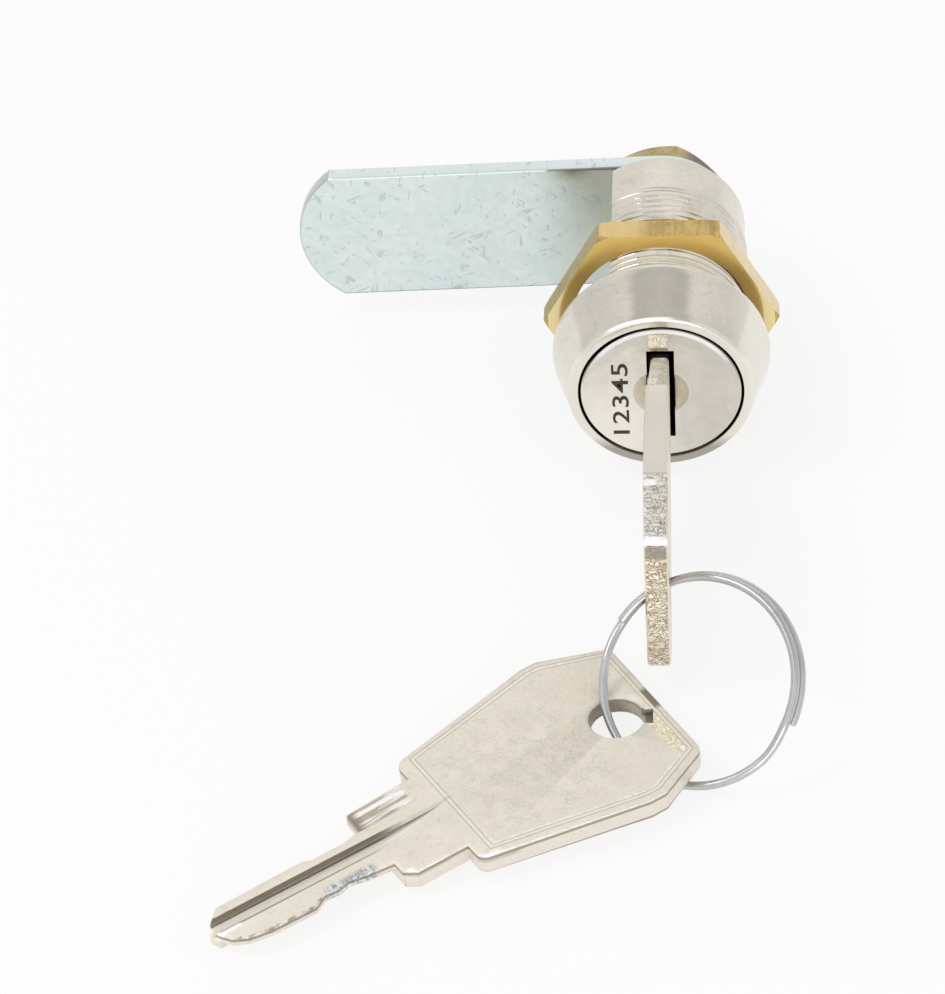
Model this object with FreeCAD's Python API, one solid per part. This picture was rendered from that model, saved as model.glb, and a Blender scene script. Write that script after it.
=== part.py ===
import FreeCAD, Part
import math
import os

# Cam lock for a mailbox door, with its two keys on a split ring. Sizes are millimetres.
# The lock's axis is Y. The origin is on it, where the head's rear face meets the door.
# +Y runs back into the box, the cam points along -X and +Z is up.

# Housing: a flared head, and a threaded barrel with one flat side
HEAD_LENGTH = 7.1
HEAD_FRONT_RADIUS = 9.75
HEAD_REAR_RADIUS = 11.5
HEAD_RIM_ROUND = 0.45
HEAD_REAR_LAND = 0.6
BARREL_RADIUS = 9.45
BARREL_LENGTH = 23.0
BARREL_THREAD_LENGTH = 16.9
BARREL_PLAIN_STEP = 0.15
BARREL_END_CHAMFER = 0.45
BARREL_FLAT_DISTANCE = 5.26

# Plug: a face flange in the head, a core in the barrel, a square tail and a stud
FLANGE_RADIUS = 8.35
FLANGE_LENGTH = 3.6
FLANGE_RECESS = 0.15
FLANGE_CLEARANCE = 0.3
CORE_RADIUS = 4.45
CORE_CLEARANCE = 0.05
TAIL_SQUARE = 6.2
TAIL_CLEARANCE = 0.05
STUD_RADIUS = 3.0
STUD_CLEARANCE = 0.05
STUD_PROUD = 0.4
DIMPLE_RADIUS = 2.9
DIMPLE_DEPTH = 0.45

# Keyway: a tall mouth in the flange, then a passage for the blade in the core
MOUTH_WIDTH = 2.85
MOUTH_TOP = 5.45
MOUTH_BOTTOM = 5.9
KEYWAY_DEPTH = 16.4
KEYWAY_CLEARANCE = 0.12
TIP_CLEARANCE = 0.05

# Quarter turn stop: a washer on the square, whose tab sweeps an arc in the barrel's end
STOP_THICKNESS = 1.8
STOP_DISC_RADIUS = 5.0
STOP_TAB_RADIUS = 6.5
STOP_TAB_HALF_ANGLE = 20.0
STOP_REST_ANGLE = 45.0
STOP_CLEARANCE = 0.15
STOP_END_PLAY_ANGLE = 1.0
QUARTER_TURN = 90.0

# Cam, its lock washer and its nut
CAM_PLAY = 0.1
CAM_WIDTH = 16.0
CAM_THICKNESS = 2.0
CAM_REACH = 41.1
CAM_TIP_BULGE = 4.2
CAM_DROOP = 1.4
LOCK_WASHER_RADIUS = 5.3
LOCK_WASHER_THICKNESS = 0.6
LOCK_WASHER_TEETH = 8
LOCK_WASHER_TOOTH_DEPTH = 0.9
LOCK_WASHER_TOOTH_GAP = 1.0
CAM_NUT_ACROSS_FLATS = 13.0
CAM_NUT_HEIGHT = 4.0
CAM_NUT_CHAMFER_RADIUS = 5.65
CAM_NUT_CHAMFER_ANGLE = 45.0
CAM_NUT_TURN = 16.3

# Nut that clamps the lock in the door
PANEL_NUT_ACROSS_FLATS = 22.0
PANEL_NUT_HEIGHT = 2.8
PANEL_NUT_FROM_SEAT = 5.5
PANEL_NUT_CLEARANCE = 0.08
PANEL_NUT_CHAMFER_RADIUS = 12.2
PANEL_NUT_CHAMFER_ANGLE = 30.0
PANEL_NUT_TURN = 0.0

# Wafers: thin plates that spring up into a groove in the barrel when the key is drawn
WAFER_COUNT = 8
WAFER_FIRST_DEPTH = 5.4
WAFER_PITCH = 1.4
WAFER_THICKNESS = 0.9
WAFER_WIDTH = 4.9
WAFER_END_RADIUS = 4.3
WAFER_LIFT = 0.9
WAFER_SLOT_CLEARANCE = 0.06
WAFER_WINDOW_SIDE_GAP = 0.15
WAFER_WINDOW_TOP_GAP = 0.12
WAFER_WINDOW_FOLLOW = 0.65
WAFER_ARM_LENGTH = 1.1
WAFER_ARM_BOTTOM = 0.4
WAFER_ARM_HEIGHT = 0.75
GROOVE_TOP_GAP = 0.2
SPRING_RADIUS = 0.38
SPRING_SIDES = 6
SPRING_LENGTH = 2.45

# Key blank. Along runs from the hole to the bow's far end, across runs away from the cuts.
KEY_THICKNESS = 2.3
KEY_FACE_OFFSET = 1.4
KEY_HOLE_RADIUS = 2.65
KEY_HOLE_CHAMFER = 0.38
BLADE_TIP = 44.1
BLADE_TOP = 2.2
BLADE_BOTTOM = 3.5
BLADE_TIP_MIDDLE = 0.1
BLADE_STEP_FROM = 1.0
BLADE_STEP_DEPTH = 1.1
COLLAR_FRONT = 26.6
COLLAR_TOP = 5.3
COLLAR_BOTTOM = 5.6
BOW_NEAR = 20.1
BOW_NEAR_HALF = 7.8
BOW_INSIDE_HEAD = 0.2
BOW_WIDE_FROM = 3.7
BOW_WIDE_TO = 2.0
BOW_FAR_ABOVE = 4.95
BOW_FAR_BELOW = 3.95
BOW_FAR_HALF = 8.6
BOW_CORNER_RADIUS = 1.2
BLADE_GROOVE_WIDTH = 1.4
BLADE_GROOVE_CENTRE = -0.1
BLADE_GROOVE_DEPTH = 0.8
BLADE_GROOVE_END = 19.4
BLADE_GROOVE_RUN_OUT = 6.0
# The blade's edges: each point is its distance from the hole and how far the edge is cut in there.
BLADE_UPPER_EDGE = [(42.4, 0.2), (33.4, 0.0), (32.4, 0.4), (29.0, 0.35), (27.8, 0.0)]
BLADE_CUTS = [
    (26.6, 0.2), (29.2, 0.5), (31.0, 0.9), (32.2, 0.6), (33.6, 0.7), (34.9, -0.1), (39.4, 0.0),
    (41.6, 0.4), (42.9, 1.2), (43.6, 2.3)]
COLLAR_NOSE = 0.4
COLLAR_CORNER_LENGTH = 1.2
COLLAR_CORNER_HEIGHT = 0.9
COLLAR_RAMP_DEPTH = 0.5
COLLAR_RAMP_END = 20.9
POCKET_ANGLE = -35.0
POCKET_WIDTH = 1.9
POCKET_REACH = 3.5
POCKET_DEPTH = 0.9
KEY_TRAVEL = 26.0

# Split ring: about one and a half turns of wire, where the turns overlap side by side
RING_RADIUS = 9.94
RING_WIRE_RADIUS = 0.425
RING_WIRE_SIDES = 8
RING_TURN_PITCH = 0.98
RING_TURN_NEST = 0.12
RING_TILT = 43.786
RING_AZIMUTH = -122.278
RING_KEY_ANGLE = 319.13
RING_KEY_OFFSET_Y = -1.553
RING_KEY_OFFSET_Z = -0.295
RING_START_ANGLE = 177.5
RING_END_ANGLE = 347.0
RING_SHIFT_ANGLE = 25.0

# Spare key: where the ring crosses the middle of its thickness, and how it lies
SPARE_RING_ANGLE = 406.73
SPARE_RING_ALONG = -0.442
SPARE_RING_ACROSS = 0.494
SPARE_YAW = 34.85
SPARE_PITCH = 1.08
SPARE_ROLL = -3.76

FACE_Y = -HEAD_LENGTH
FLANGE_BACK_Y = FACE_Y + FLANGE_LENGTH
CORE_END_Y = BARREL_LENGTH + CAM_PLAY - STOP_THICKNESS
CAM_FRONT_Y = BARREL_LENGTH + CAM_PLAY
CAM_REAR_Y = CAM_FRONT_Y + CAM_THICKNESS
CAM_NUT_Y = CAM_REAR_Y + LOCK_WASHER_THICKNESS
STUD_END_Y = CAM_NUT_Y + CAM_NUT_HEIGHT + STUD_PROUD
BORE_RADIUS = CORE_RADIUS + CORE_CLEARANCE
KEY_MIDDLE_X = -KEY_FACE_OFFSET + KEY_THICKNESS / 2.0
BOW_WIDE_HALF = HEAD_REAR_RADIUS - BOW_INSIDE_HEAD
KEYWAY_END_Y = FACE_Y + KEYWAY_DEPTH
KEY_HOLE_Y = KEYWAY_END_Y - TIP_CLEARANCE - BLADE_TIP
WAFER_SLOT_HALF = WAFER_WIDTH / 2.0 + WAFER_SLOT_CLEARANCE
BIG = 60.0


def vec(x, y, z):
    return FreeCAD.Vector(x, y, z)


def box(x_low, x_high, y_low, y_high, z_low, z_high):
    size = (x_high - x_low, y_high - y_low, z_high - z_low)
    return Part.makeBox(size[0], size[1], size[2], vec(x_low, y_low, z_low))


def cylinder(radius, y_low, y_high, x=0.0, z=0.0):
    return Part.makeCylinder(radius, y_high - y_low, vec(x, y_low, z), vec(0, 1, 0))


def turned(profile):
    """A full turn about the lock's axis of a closed outline of (radius, y) corners."""
    corners = [vec(radius, y, 0) for radius, y in profile]
    face = Part.Face(Part.makePolygon(corners + corners[:1]))
    return face.revolve(vec(0, 0, 0), vec(0, 1, 0), 360)


def sector(radius, low_angle, high_angle, y_low, y_high):
    """A pie slice about the lock's axis. Angles are degrees from +X towards +Z."""
    def rim(angle):
        turn = math.radians(angle)
        return vec(radius * math.cos(turn), y_low, radius * math.sin(turn))
    middle = (low_angle + high_angle) / 2.0
    centre = vec(0, y_low, 0)
    arc = Part.Arc(rim(low_angle), rim(middle), rim(high_angle)).toShape()
    sides = [Part.makeLine(centre, rim(low_angle)), arc, Part.makeLine(rim(high_angle), centre)]
    return Part.Face(Part.Wire(sides)).extrude(vec(0, y_high - y_low, 0))


def hex_nut(across_flats, chamfer_radius, chamfer_angle, first_corner, bore_radius, y_low, height):
    """A hexagon nut with chamfered corners, the first of them at an angle from +X."""
    y_high = y_low + height
    corner = across_flats / 2.0 / math.cos(math.radians(30))
    points = []
    for step in range(7):
        turn = math.radians(first_corner + 60.0 * step)
        points.append(vec(corner * math.cos(turn), y_low, corner * math.sin(turn)))
    body = Part.Face(Part.makePolygon(points)).extrude(vec(0, height, 0))
    drop = (corner + 1.0 - chamfer_radius) * math.tan(math.radians(chamfer_angle))
    rounding = turned([
        (0, y_low), (chamfer_radius, y_low), (corner + 1.0, y_low + drop),
        (corner + 1.0, y_high - drop), (chamfer_radius, y_high), (0, y_high)])
    return body.common(rounding).cut(cylinder(bore_radius, y_low - 1, y_high + 1))


def rounded_outline(corners):
    """A closed flat outline from (x, y, radius) corners, each rounded by its own radius."""
    edges = []
    count = len(corners)
    starts = []
    ends = []
    arcs = []
    for index in range(count):
        before = vec(corners[index - 1][0], corners[index - 1][1], 0)
        here = vec(corners[index][0], corners[index][1], 0)
        after = vec(corners[(index + 1) % count][0], corners[(index + 1) % count][1], 0)
        radius = corners[index][2]
        into = (before - here).normalize()
        out = (after - here).normalize()
        if radius == 0:
            starts.append(here)
            ends.append(here)
            arcs.append(None)
            continue
        half = into.getAngle(out) / 2.0
        set_back = radius / math.tan(half)
        start = here + into * set_back
        end = here + out * set_back
        to_centre = (into + out).normalize()
        middle = here + to_centre * (radius / math.sin(half) - radius)
        starts.append(start)
        ends.append(end)
        arcs.append(Part.Arc(start, middle, end).toShape())
    for index in range(count):
        if arcs[index] is not None:
            edges.append(arcs[index])
        edges.append(Part.makeLine(ends[index], starts[(index + 1) % count]))
    return Part.Wire(edges)


def make_housing():
    rim_radius = HEAD_FRONT_RADIUS - HEAD_RIM_ROUND
    recess_radius = FLANGE_RADIUS + FLANGE_CLEARANCE
    plain_radius = BARREL_RADIUS - BARREL_PLAIN_STEP
    outline = [
        (recess_radius, FACE_Y), (rim_radius, FACE_Y), (HEAD_FRONT_RADIUS, FACE_Y + HEAD_RIM_ROUND),
        (HEAD_REAR_RADIUS, -HEAD_REAR_LAND), (HEAD_REAR_RADIUS, 0), (BARREL_RADIUS, 0),
        (BARREL_RADIUS, BARREL_THREAD_LENGTH), (plain_radius, BARREL_THREAD_LENGTH + BARREL_PLAIN_STEP),
        (plain_radius, BARREL_LENGTH - BARREL_END_CHAMFER),
        (plain_radius - BARREL_END_CHAMFER, BARREL_LENGTH), (BORE_RADIUS, BARREL_LENGTH),
        (BORE_RADIUS, FLANGE_BACK_Y), (recess_radius, FLANGE_BACK_Y)]
    body = turned(outline)
    flat = box(-BIG, -BARREL_FLAT_DISTANCE, 0, BIG, -BIG, BIG)
    groove_front = FACE_Y + WAFER_FIRST_DEPTH - WAFER_THICKNESS
    groove_back = groove_front + WAFER_PITCH * (WAFER_COUNT - 1) + 2 * WAFER_THICKNESS
    groove_reach = WAFER_END_RADIUS + WAFER_LIFT + GROOVE_TOP_GAP
    upper = box(-WAFER_SLOT_HALF, WAFER_SLOT_HALF, groove_front, groove_back, 0, groove_reach)
    side = box(0, groove_reach, groove_front, groove_back, -WAFER_SLOT_HALF, WAFER_SLOT_HALF)
    swing = STOP_TAB_HALF_ANGLE + STOP_END_PLAY_ANGLE
    stop_floor = CORE_END_Y - STOP_CLEARANCE
    stop_seat = cylinder(STOP_DISC_RADIUS + STOP_CLEARANCE, stop_floor, BARREL_LENGTH + 1)
    stop_arc = sector(
        STOP_TAB_RADIUS + STOP_CLEARANCE, STOP_REST_ANGLE - QUARTER_TURN - swing,
        STOP_REST_ANGLE + swing, stop_floor, BARREL_LENGTH + 1)
    return body.cut(flat).cut([upper, side, stop_seat, stop_arc])


def square_tail(half, y_low, y_high):
    return box(-half, half, y_low, y_high, -half, half)


def make_plug():
    face_y = FACE_Y + FLANGE_RECESS
    flange = cylinder(FLANGE_RADIUS, face_y, FLANGE_BACK_Y)
    core = cylinder(CORE_RADIUS, FLANGE_BACK_Y, CORE_END_Y)
    tail = square_tail(TAIL_SQUARE / 2.0, CORE_END_Y, CAM_REAR_Y - TAIL_CLEARANCE)
    stud = cylinder(STUD_RADIUS, CAM_REAR_Y - TAIL_CLEARANCE, STUD_END_Y)
    body = flange.fuse([core, tail, stud])
    ball_radius = (DIMPLE_RADIUS ** 2 + DIMPLE_DEPTH ** 2) / (2 * DIMPLE_DEPTH)
    dimple = Part.makeSphere(ball_radius, vec(0, face_y + DIMPLE_DEPTH - ball_radius, 0))
    mouth_half = MOUTH_WIDTH / 2.0
    mouth = box(-mouth_half, mouth_half, FACE_Y - 1, FLANGE_BACK_Y, -MOUTH_BOTTOM, MOUTH_TOP)
    way_half = KEY_THICKNESS / 2.0 + KEYWAY_CLEARANCE
    keyway = box(
        KEY_MIDDLE_X - way_half, KEY_MIDDLE_X + way_half, FACE_Y, KEYWAY_END_Y,
        -BLADE_BOTTOM - 0.5 - KEYWAY_CLEARANCE, BLADE_TOP + KEYWAY_CLEARANCE)
    cuts = [dimple, mouth, keyway]
    for index in range(WAFER_COUNT):
        cuts += wafer_pockets(index)
    return body.cut(cuts).removeSplitter()


def wafer_y(index):
    return FACE_Y + WAFER_FIRST_DEPTH + WAFER_PITCH * index


def arm_end_x():
    return WAFER_WIDTH / 2.0 + WAFER_ARM_LENGTH


def spring_x():
    return arm_end_x() - SPRING_RADIUS


def wafer_pockets(index):
    """The slot that one wafer slides in, with the side pocket for its arm and spring."""
    half = WAFER_THICKNESS / 2.0 + WAFER_SLOT_CLEARANCE
    middle = wafer_y(index)
    slot = box(-WAFER_SLOT_HALF, WAFER_SLOT_HALF, middle - half, middle + half, -BIG, BIG)
    pocket = box(
        0, arm_end_x() + WAFER_SLOT_CLEARANCE, middle - half, middle + half,
        WAFER_ARM_BOTTOM - SPRING_LENGTH,
        WAFER_ARM_BOTTOM + WAFER_ARM_HEIGHT + WAFER_LIFT + WAFER_SLOT_CLEARANCE)
    return [slot, pocket]


def make_wafer(index):
    half = WAFER_THICKNESS / 2.0
    front = wafer_y(index) - half
    back = wafer_y(index) + half
    plate = cylinder(WAFER_END_RADIUS, front, back)
    plate = plate.common(box(-WAFER_WIDTH / 2.0, WAFER_WIDTH / 2.0, front, back, -BIG, BIG))
    arm = box(0, arm_end_x(), front, back, WAFER_ARM_BOTTOM, WAFER_ARM_BOTTOM + WAFER_ARM_HEIGHT)
    window_half = KEY_THICKNESS / 2.0 + WAFER_WINDOW_SIDE_GAP
    window = box(
        KEY_MIDDLE_X - window_half, KEY_MIDDLE_X + window_half, front - 1, back + 1,
        -BLADE_BOTTOM - WAFER_WINDOW_FOLLOW, BLADE_TOP + WAFER_WINDOW_TOP_GAP)
    return plate.fuse(arm).removeSplitter().cut(window)


def make_wafer_spring(index):
    """A plain column with the coil's outside size."""
    low = WAFER_ARM_BOTTOM - SPRING_LENGTH
    corners = []
    for side in range(SPRING_SIDES + 1):
        turn = 2 * math.pi * side / SPRING_SIDES
        x = spring_x() + SPRING_RADIUS * math.cos(turn)
        corners.append(vec(x, wafer_y(index) + SPRING_RADIUS * math.sin(turn), low))
    return Part.Face(Part.makePolygon(corners)).extrude(vec(0, 0, SPRING_LENGTH))


def make_stop_washer():
    back = CORE_END_Y + STOP_THICKNESS
    disc = cylinder(STOP_DISC_RADIUS, CORE_END_Y, back)
    low = STOP_REST_ANGLE - STOP_TAB_HALF_ANGLE
    tab = sector(STOP_TAB_RADIUS, low, low + 2 * STOP_TAB_HALF_ANGLE, CORE_END_Y, back)
    hole = square_tail(TAIL_SQUARE / 2.0 + TAIL_CLEARANCE, CORE_END_Y - 1, back + 1)
    return disc.fuse(tab).removeSplitter().cut(hole)


def make_cam():
    half = CAM_WIDTH / 2.0
    corner_x = CAM_TIP_BULGE - CAM_REACH
    tip = Part.Arc(vec(corner_x, 0, half), vec(-CAM_REACH, 0, 0), vec(corner_x, 0, -half)).toShape()
    root = Part.Arc(vec(0, 0, -half), vec(half, 0, 0), vec(0, 0, half)).toShape()
    sides = [
        tip, Part.makeLine(vec(corner_x, 0, -half), vec(0, 0, -half)),
        root, Part.makeLine(vec(0, 0, half), vec(corner_x, 0, half))]
    plate = Part.Face(Part.Wire(sides)).extrude(vec(0, CAM_THICKNESS, 0))
    plate.translate(vec(0, CAM_FRONT_Y, 0))
    plate.rotate(vec(0, 0, 0), vec(0, 1, 0), -CAM_DROOP)
    hole_half = TAIL_SQUARE / 2.0 + TAIL_CLEARANCE
    return plate.cut(square_tail(hole_half, CAM_FRONT_Y - 1, CAM_REAR_Y + 1))


def make_lock_washer():
    bore = STUD_RADIUS + STUD_CLEARANCE
    ring = cylinder(LOCK_WASHER_RADIUS, CAM_REAR_Y, CAM_NUT_Y)
    ring = ring.cut(cylinder(bore, CAM_REAR_Y - 1, CAM_NUT_Y + 1))
    gaps = []
    for index in range(LOCK_WASHER_TEETH):
        gap = box(
            bore - 1, bore + LOCK_WASHER_TOOTH_DEPTH, CAM_REAR_Y - 1, CAM_NUT_Y + 1,
            -LOCK_WASHER_TOOTH_GAP / 2.0, LOCK_WASHER_TOOTH_GAP / 2.0)
        gap.rotate(vec(0, 0, 0), vec(0, 1, 0), 360.0 * index / LOCK_WASHER_TEETH)
        gaps.append(gap)
    return ring.cut(gaps)


def make_cam_nut():
    return hex_nut(
        CAM_NUT_ACROSS_FLATS, CAM_NUT_CHAMFER_RADIUS, CAM_NUT_CHAMFER_ANGLE, CAM_NUT_TURN,
        STUD_RADIUS + STUD_CLEARANCE, CAM_NUT_Y, CAM_NUT_HEIGHT)


def make_panel_nut():
    return hex_nut(
        PANEL_NUT_ACROSS_FLATS, PANEL_NUT_CHAMFER_RADIUS, PANEL_NUT_CHAMFER_ANGLE, PANEL_NUT_TURN,
        BARREL_RADIUS + PANEL_NUT_CLEARANCE, PANEL_NUT_FROM_SEAT, PANEL_NUT_HEIGHT)


def blade_and_collar_outline():
    """The blade from its tip to the bow: a plain upper edge, and cuts in the lower one."""
    nose = -COLLAR_FRONT - COLLAR_NOSE
    upper = [(-along, BLADE_TOP - depth) for along, depth in BLADE_UPPER_EDGE]
    collar = [
        (nose, BLADE_TOP), (nose, COLLAR_TOP),
        (-BOW_NEAR + 1, COLLAR_TOP), (-BOW_NEAR + 1, -COLLAR_BOTTOM),
        (-COLLAR_FRONT + COLLAR_CORNER_LENGTH, -COLLAR_BOTTOM),
        (-COLLAR_FRONT, -COLLAR_BOTTOM + COLLAR_CORNER_HEIGHT)]
    lower = [(-along, -BLADE_BOTTOM + depth) for along, depth in BLADE_CUTS]
    return [(-BLADE_TIP, BLADE_TIP_MIDDLE)] + upper + collar + lower


def bow_corners():
    near = BOW_CORNER_RADIUS
    return [
        (-BOW_NEAR, -BOW_NEAR_HALF, near), (-BOW_WIDE_FROM, -BOW_WIDE_HALF, near),
        (-BOW_WIDE_TO, -BOW_WIDE_HALF, near / 2.0), (BOW_FAR_BELOW, -BOW_FAR_HALF, near),
        (BOW_FAR_ABOVE, BOW_FAR_HALF, near), (-BOW_WIDE_TO, BOW_WIDE_HALF, near / 2.0),
        (-BOW_WIDE_FROM, BOW_WIDE_HALF, near), (-BOW_NEAR, BOW_NEAR_HALF, near)]


def blade_groove():
    """The groove along the blade. Where the cutter leaves, it narrows and rises to a point."""
    low = BLADE_GROOVE_CENTRE - BLADE_GROOVE_WIDTH / 2.0
    high = low + BLADE_GROOVE_WIDTH
    start = -BLADE_TIP - 1
    turn = -BLADE_GROOVE_END - BLADE_GROOVE_RUN_OUT
    straight = Part.makeBox(
        turn - start, BLADE_GROOVE_WIDTH, BLADE_GROOVE_DEPTH + 1,
        vec(start, low, -BLADE_GROOVE_DEPTH))
    low_top, high_top = vec(turn, low, 1), vec(turn, high, 1)
    low_floor, high_floor = vec(turn, low, -BLADE_GROOVE_DEPTH), vec(turn, high, -BLADE_GROOVE_DEPTH)
    end_top, end = vec(-BLADE_GROOVE_END, high, 1), vec(-BLADE_GROOVE_END, high, 0)
    outlines = [
        [low_top, high_top, high_floor, low_floor], [low_top, high_top, end_top],
        [low_floor, high_floor, end], [high_top, high_floor, end, end_top],
        [low_top, low_floor, end, end_top]]
    faces = [Part.Face(Part.makePolygon(points + points[:1])) for points in outlines]
    run_out = Part.makeSolid(Part.makeShell(faces))
    return straight.fuse(run_out)


def blade_step():
    """The back of the blade's lower part is milled away up to the collar."""
    length = BLADE_TIP + 1 - COLLAR_FRONT
    return Part.makeBox(
        length, BLADE_BOTTOM, BLADE_STEP_DEPTH + 1,
        vec(-BLADE_TIP - 1, -BLADE_STEP_FROM - BLADE_BOTTOM, -KEY_THICKNESS - 1))


def collar_ramp():
    """Where a cutter has thinned the collar above the blade, rising out before the bow."""
    front = -COLLAR_FRONT - 1
    side = [
        vec(front, BLADE_TOP, 1), vec(-COLLAR_RAMP_END, BLADE_TOP, 1),
        vec(-COLLAR_RAMP_END, BLADE_TOP, 0), vec(front, BLADE_TOP, -COLLAR_RAMP_DEPTH)]
    return Part.Face(Part.makePolygon(side + side[:1])).extrude(vec(0, COLLAR_TOP, 0))


def make_key_blank():
    """A key with its hole's centre at the origin and its marked face at Z = 0."""
    points = [vec(x, y, 0) for x, y in blade_and_collar_outline()]
    blade = Part.Face(Part.makePolygon(points + points[:1]))
    bow_wire = rounded_outline(bow_corners())
    bow = Part.Face(bow_wire)
    down = vec(0, 0, -KEY_THICKNESS)
    body = bow.extrude(down).fuse(blade.extrude(down)).removeSplitter()
    hole = Part.makeCylinder(KEY_HOLE_RADIUS, BIG, vec(0, 0, -BIG / 2.0))
    cuts = [hole]
    wide = KEY_HOLE_RADIUS + KEY_HOLE_CHAMFER
    upper_bevel = Part.makeCone(KEY_HOLE_RADIUS, wide, KEY_HOLE_CHAMFER)
    upper_bevel.translate(vec(0, 0, -KEY_HOLE_CHAMFER))
    lower_bevel = Part.makeCone(wide, KEY_HOLE_RADIUS, KEY_HOLE_CHAMFER)
    lower_bevel.translate(vec(0, 0, -KEY_THICKNESS))
    cuts += [upper_bevel, lower_bevel]
    pocket = Part.makeBox(
        POCKET_REACH, POCKET_WIDTH, POCKET_DEPTH + 1, vec(0, -POCKET_WIDTH / 2.0, -POCKET_DEPTH))
    pocket.rotate(vec(0, 0, 0), vec(0, 0, 1), POCKET_ANGLE)
    cuts.append(pocket)
    cuts += [blade_groove(), blade_step(), collar_ramp()]
    return body.cut(cuts)


def placed(shape, along, across, normal, origin):
    """Stand a key up: its own axes go along the three given directions."""
    matrix = FreeCAD.Matrix(
        along.x, across.x, normal.x, origin.x,
        along.y, across.y, normal.y, origin.y,
        along.z, across.z, normal.z, origin.z,
        0, 0, 0, 1)
    shape.Placement = FreeCAD.Placement(matrix)
    return shape


def make_key():
    origin = vec(-KEY_FACE_OFFSET, KEY_HOLE_Y, 0)
    return placed(make_key_blank(), vec(0, -1, 0), vec(0, 0, 1), vec(-1, 0, 0), origin)


def ring_axes():
    """Two directions in the ring's plane, and the one square to it."""
    tilt = math.radians(RING_TILT)
    azimuth = math.radians(RING_AZIMUTH)
    normal = vec(
        math.sin(tilt) * math.cos(azimuth), math.sin(tilt) * math.sin(azimuth), math.cos(tilt))
    level = normal.cross(vec(0, 0, 1)).normalize()
    return level, normal.cross(level), normal


def ring_direction(angle):
    level, steep, normal = ring_axes()
    turn = math.radians(angle)
    return level * math.cos(turn) + steep * math.sin(turn)


def ring_centre():
    in_key = vec(KEY_MIDDLE_X, KEY_HOLE_Y + RING_KEY_OFFSET_Y, RING_KEY_OFFSET_Z)
    return in_key - ring_direction(RING_KEY_ANGLE) * RING_RADIUS


def biarc(start, start_way, end, end_way):
    """Two arcs that leave start along start_way and reach end along end_way, smoothly."""
    span = end - start
    ways = start_way + end_way
    square = 2 * (1 - start_way.dot(end_way))
    reach = (-span.dot(ways) + math.sqrt(span.dot(ways) ** 2 + square * span.dot(span))) / square
    knee_a = start + start_way * reach
    knee_b = end - end_way * reach
    joint = (knee_a + knee_b) * 0.5
    edges = []
    for first, knee, last in ((start, knee_a, joint), (joint, knee_b, end)):
        middle = (first + last) * 0.5
        half_chord = (last - first).Length / 2.0
        half_turn = math.atan2((knee - middle).Length, half_chord)
        rise = half_chord * math.tan(half_turn / 2.0)
        crown = middle + (knee - middle).normalize() * rise
        edges.append(Part.Arc(first, crown, last).toShape())
    return edges


def ring_stations():
    """Angle, extra radius and side shift of the wire where its biarcs meet."""
    lap_start = RING_START_ANGLE + 360.0
    side = RING_TURN_PITCH / 2.0
    single_from = RING_END_ANGLE + RING_SHIFT_ANGLE
    single_to = lap_start - RING_SHIFT_ANGLE
    middle_first = (RING_START_ANGLE + RING_END_ANGLE) / 2.0
    return [
        (RING_START_ANGLE, RING_TURN_NEST, -side), (middle_first, RING_TURN_NEST, -side),
        (RING_END_ANGLE, RING_TURN_NEST, -side), (single_from, 0, 0),
        ((single_from + single_to) / 2.0, 0, 0), (single_to, 0, 0),
        (lap_start, -RING_TURN_NEST, side), (middle_first + 360.0, -RING_TURN_NEST, side),
        (RING_END_ANGLE + 360.0, -RING_TURN_NEST, side)]


def make_key_ring():
    centre = ring_centre()
    normal = ring_axes()[2]
    points = []
    ways = []
    for angle, extra, shift in ring_stations():
        out = ring_direction(angle)
        points.append(centre + out * (RING_RADIUS + extra) + normal * shift)
        ways.append(normal.cross(out))
    edges = []
    for index in range(len(points) - 1):
        edges += biarc(points[index], ways[index], points[index + 1], ways[index + 1])
    path = Part.Wire(edges)
    out = ring_direction(RING_START_ANGLE)
    corners = []
    for side in range(RING_WIRE_SIDES + 1):
        turn = 2 * math.pi * (side + 0.5) / RING_WIRE_SIDES
        reach = out * math.cos(turn) + normal * math.sin(turn)
        corners.append(points[0] + reach * RING_WIRE_RADIUS)
    wire = path.makePipeShell([Part.makePolygon(corners)], True, False)
    step = 2 * math.pi / RING_WIRE_SIDES
    tube = RING_WIRE_SIDES / 2.0 * RING_WIRE_RADIUS ** 2 * math.sin(step) * path.Length
    print("key ring volume over section times length: %.4f" % (wire.Volume / tube))
    return wire


def make_spare_key():
    yaw = math.radians(SPARE_YAW)
    pitch = math.radians(SPARE_PITCH)
    roll = math.radians(SPARE_ROLL)
    level = vec(math.cos(yaw), math.sin(yaw), 0)
    side = vec(-math.sin(yaw), math.cos(yaw), 0)
    up = vec(0, 0, 1)
    along = level * math.cos(pitch) + up * math.sin(pitch)
    rise = up * math.cos(pitch) - level * math.sin(pitch)
    across = side * math.cos(roll) + rise * math.sin(roll)
    normal = rise * math.cos(roll) - side * math.sin(roll)
    crossing = ring_centre() + ring_direction(SPARE_RING_ANGLE) * RING_RADIUS
    middle = crossing - along * SPARE_RING_ALONG - across * SPARE_RING_ACROSS
    return placed(make_key_blank(), along, across, normal, middle + normal * (KEY_THICKNESS / 2.0))


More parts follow.
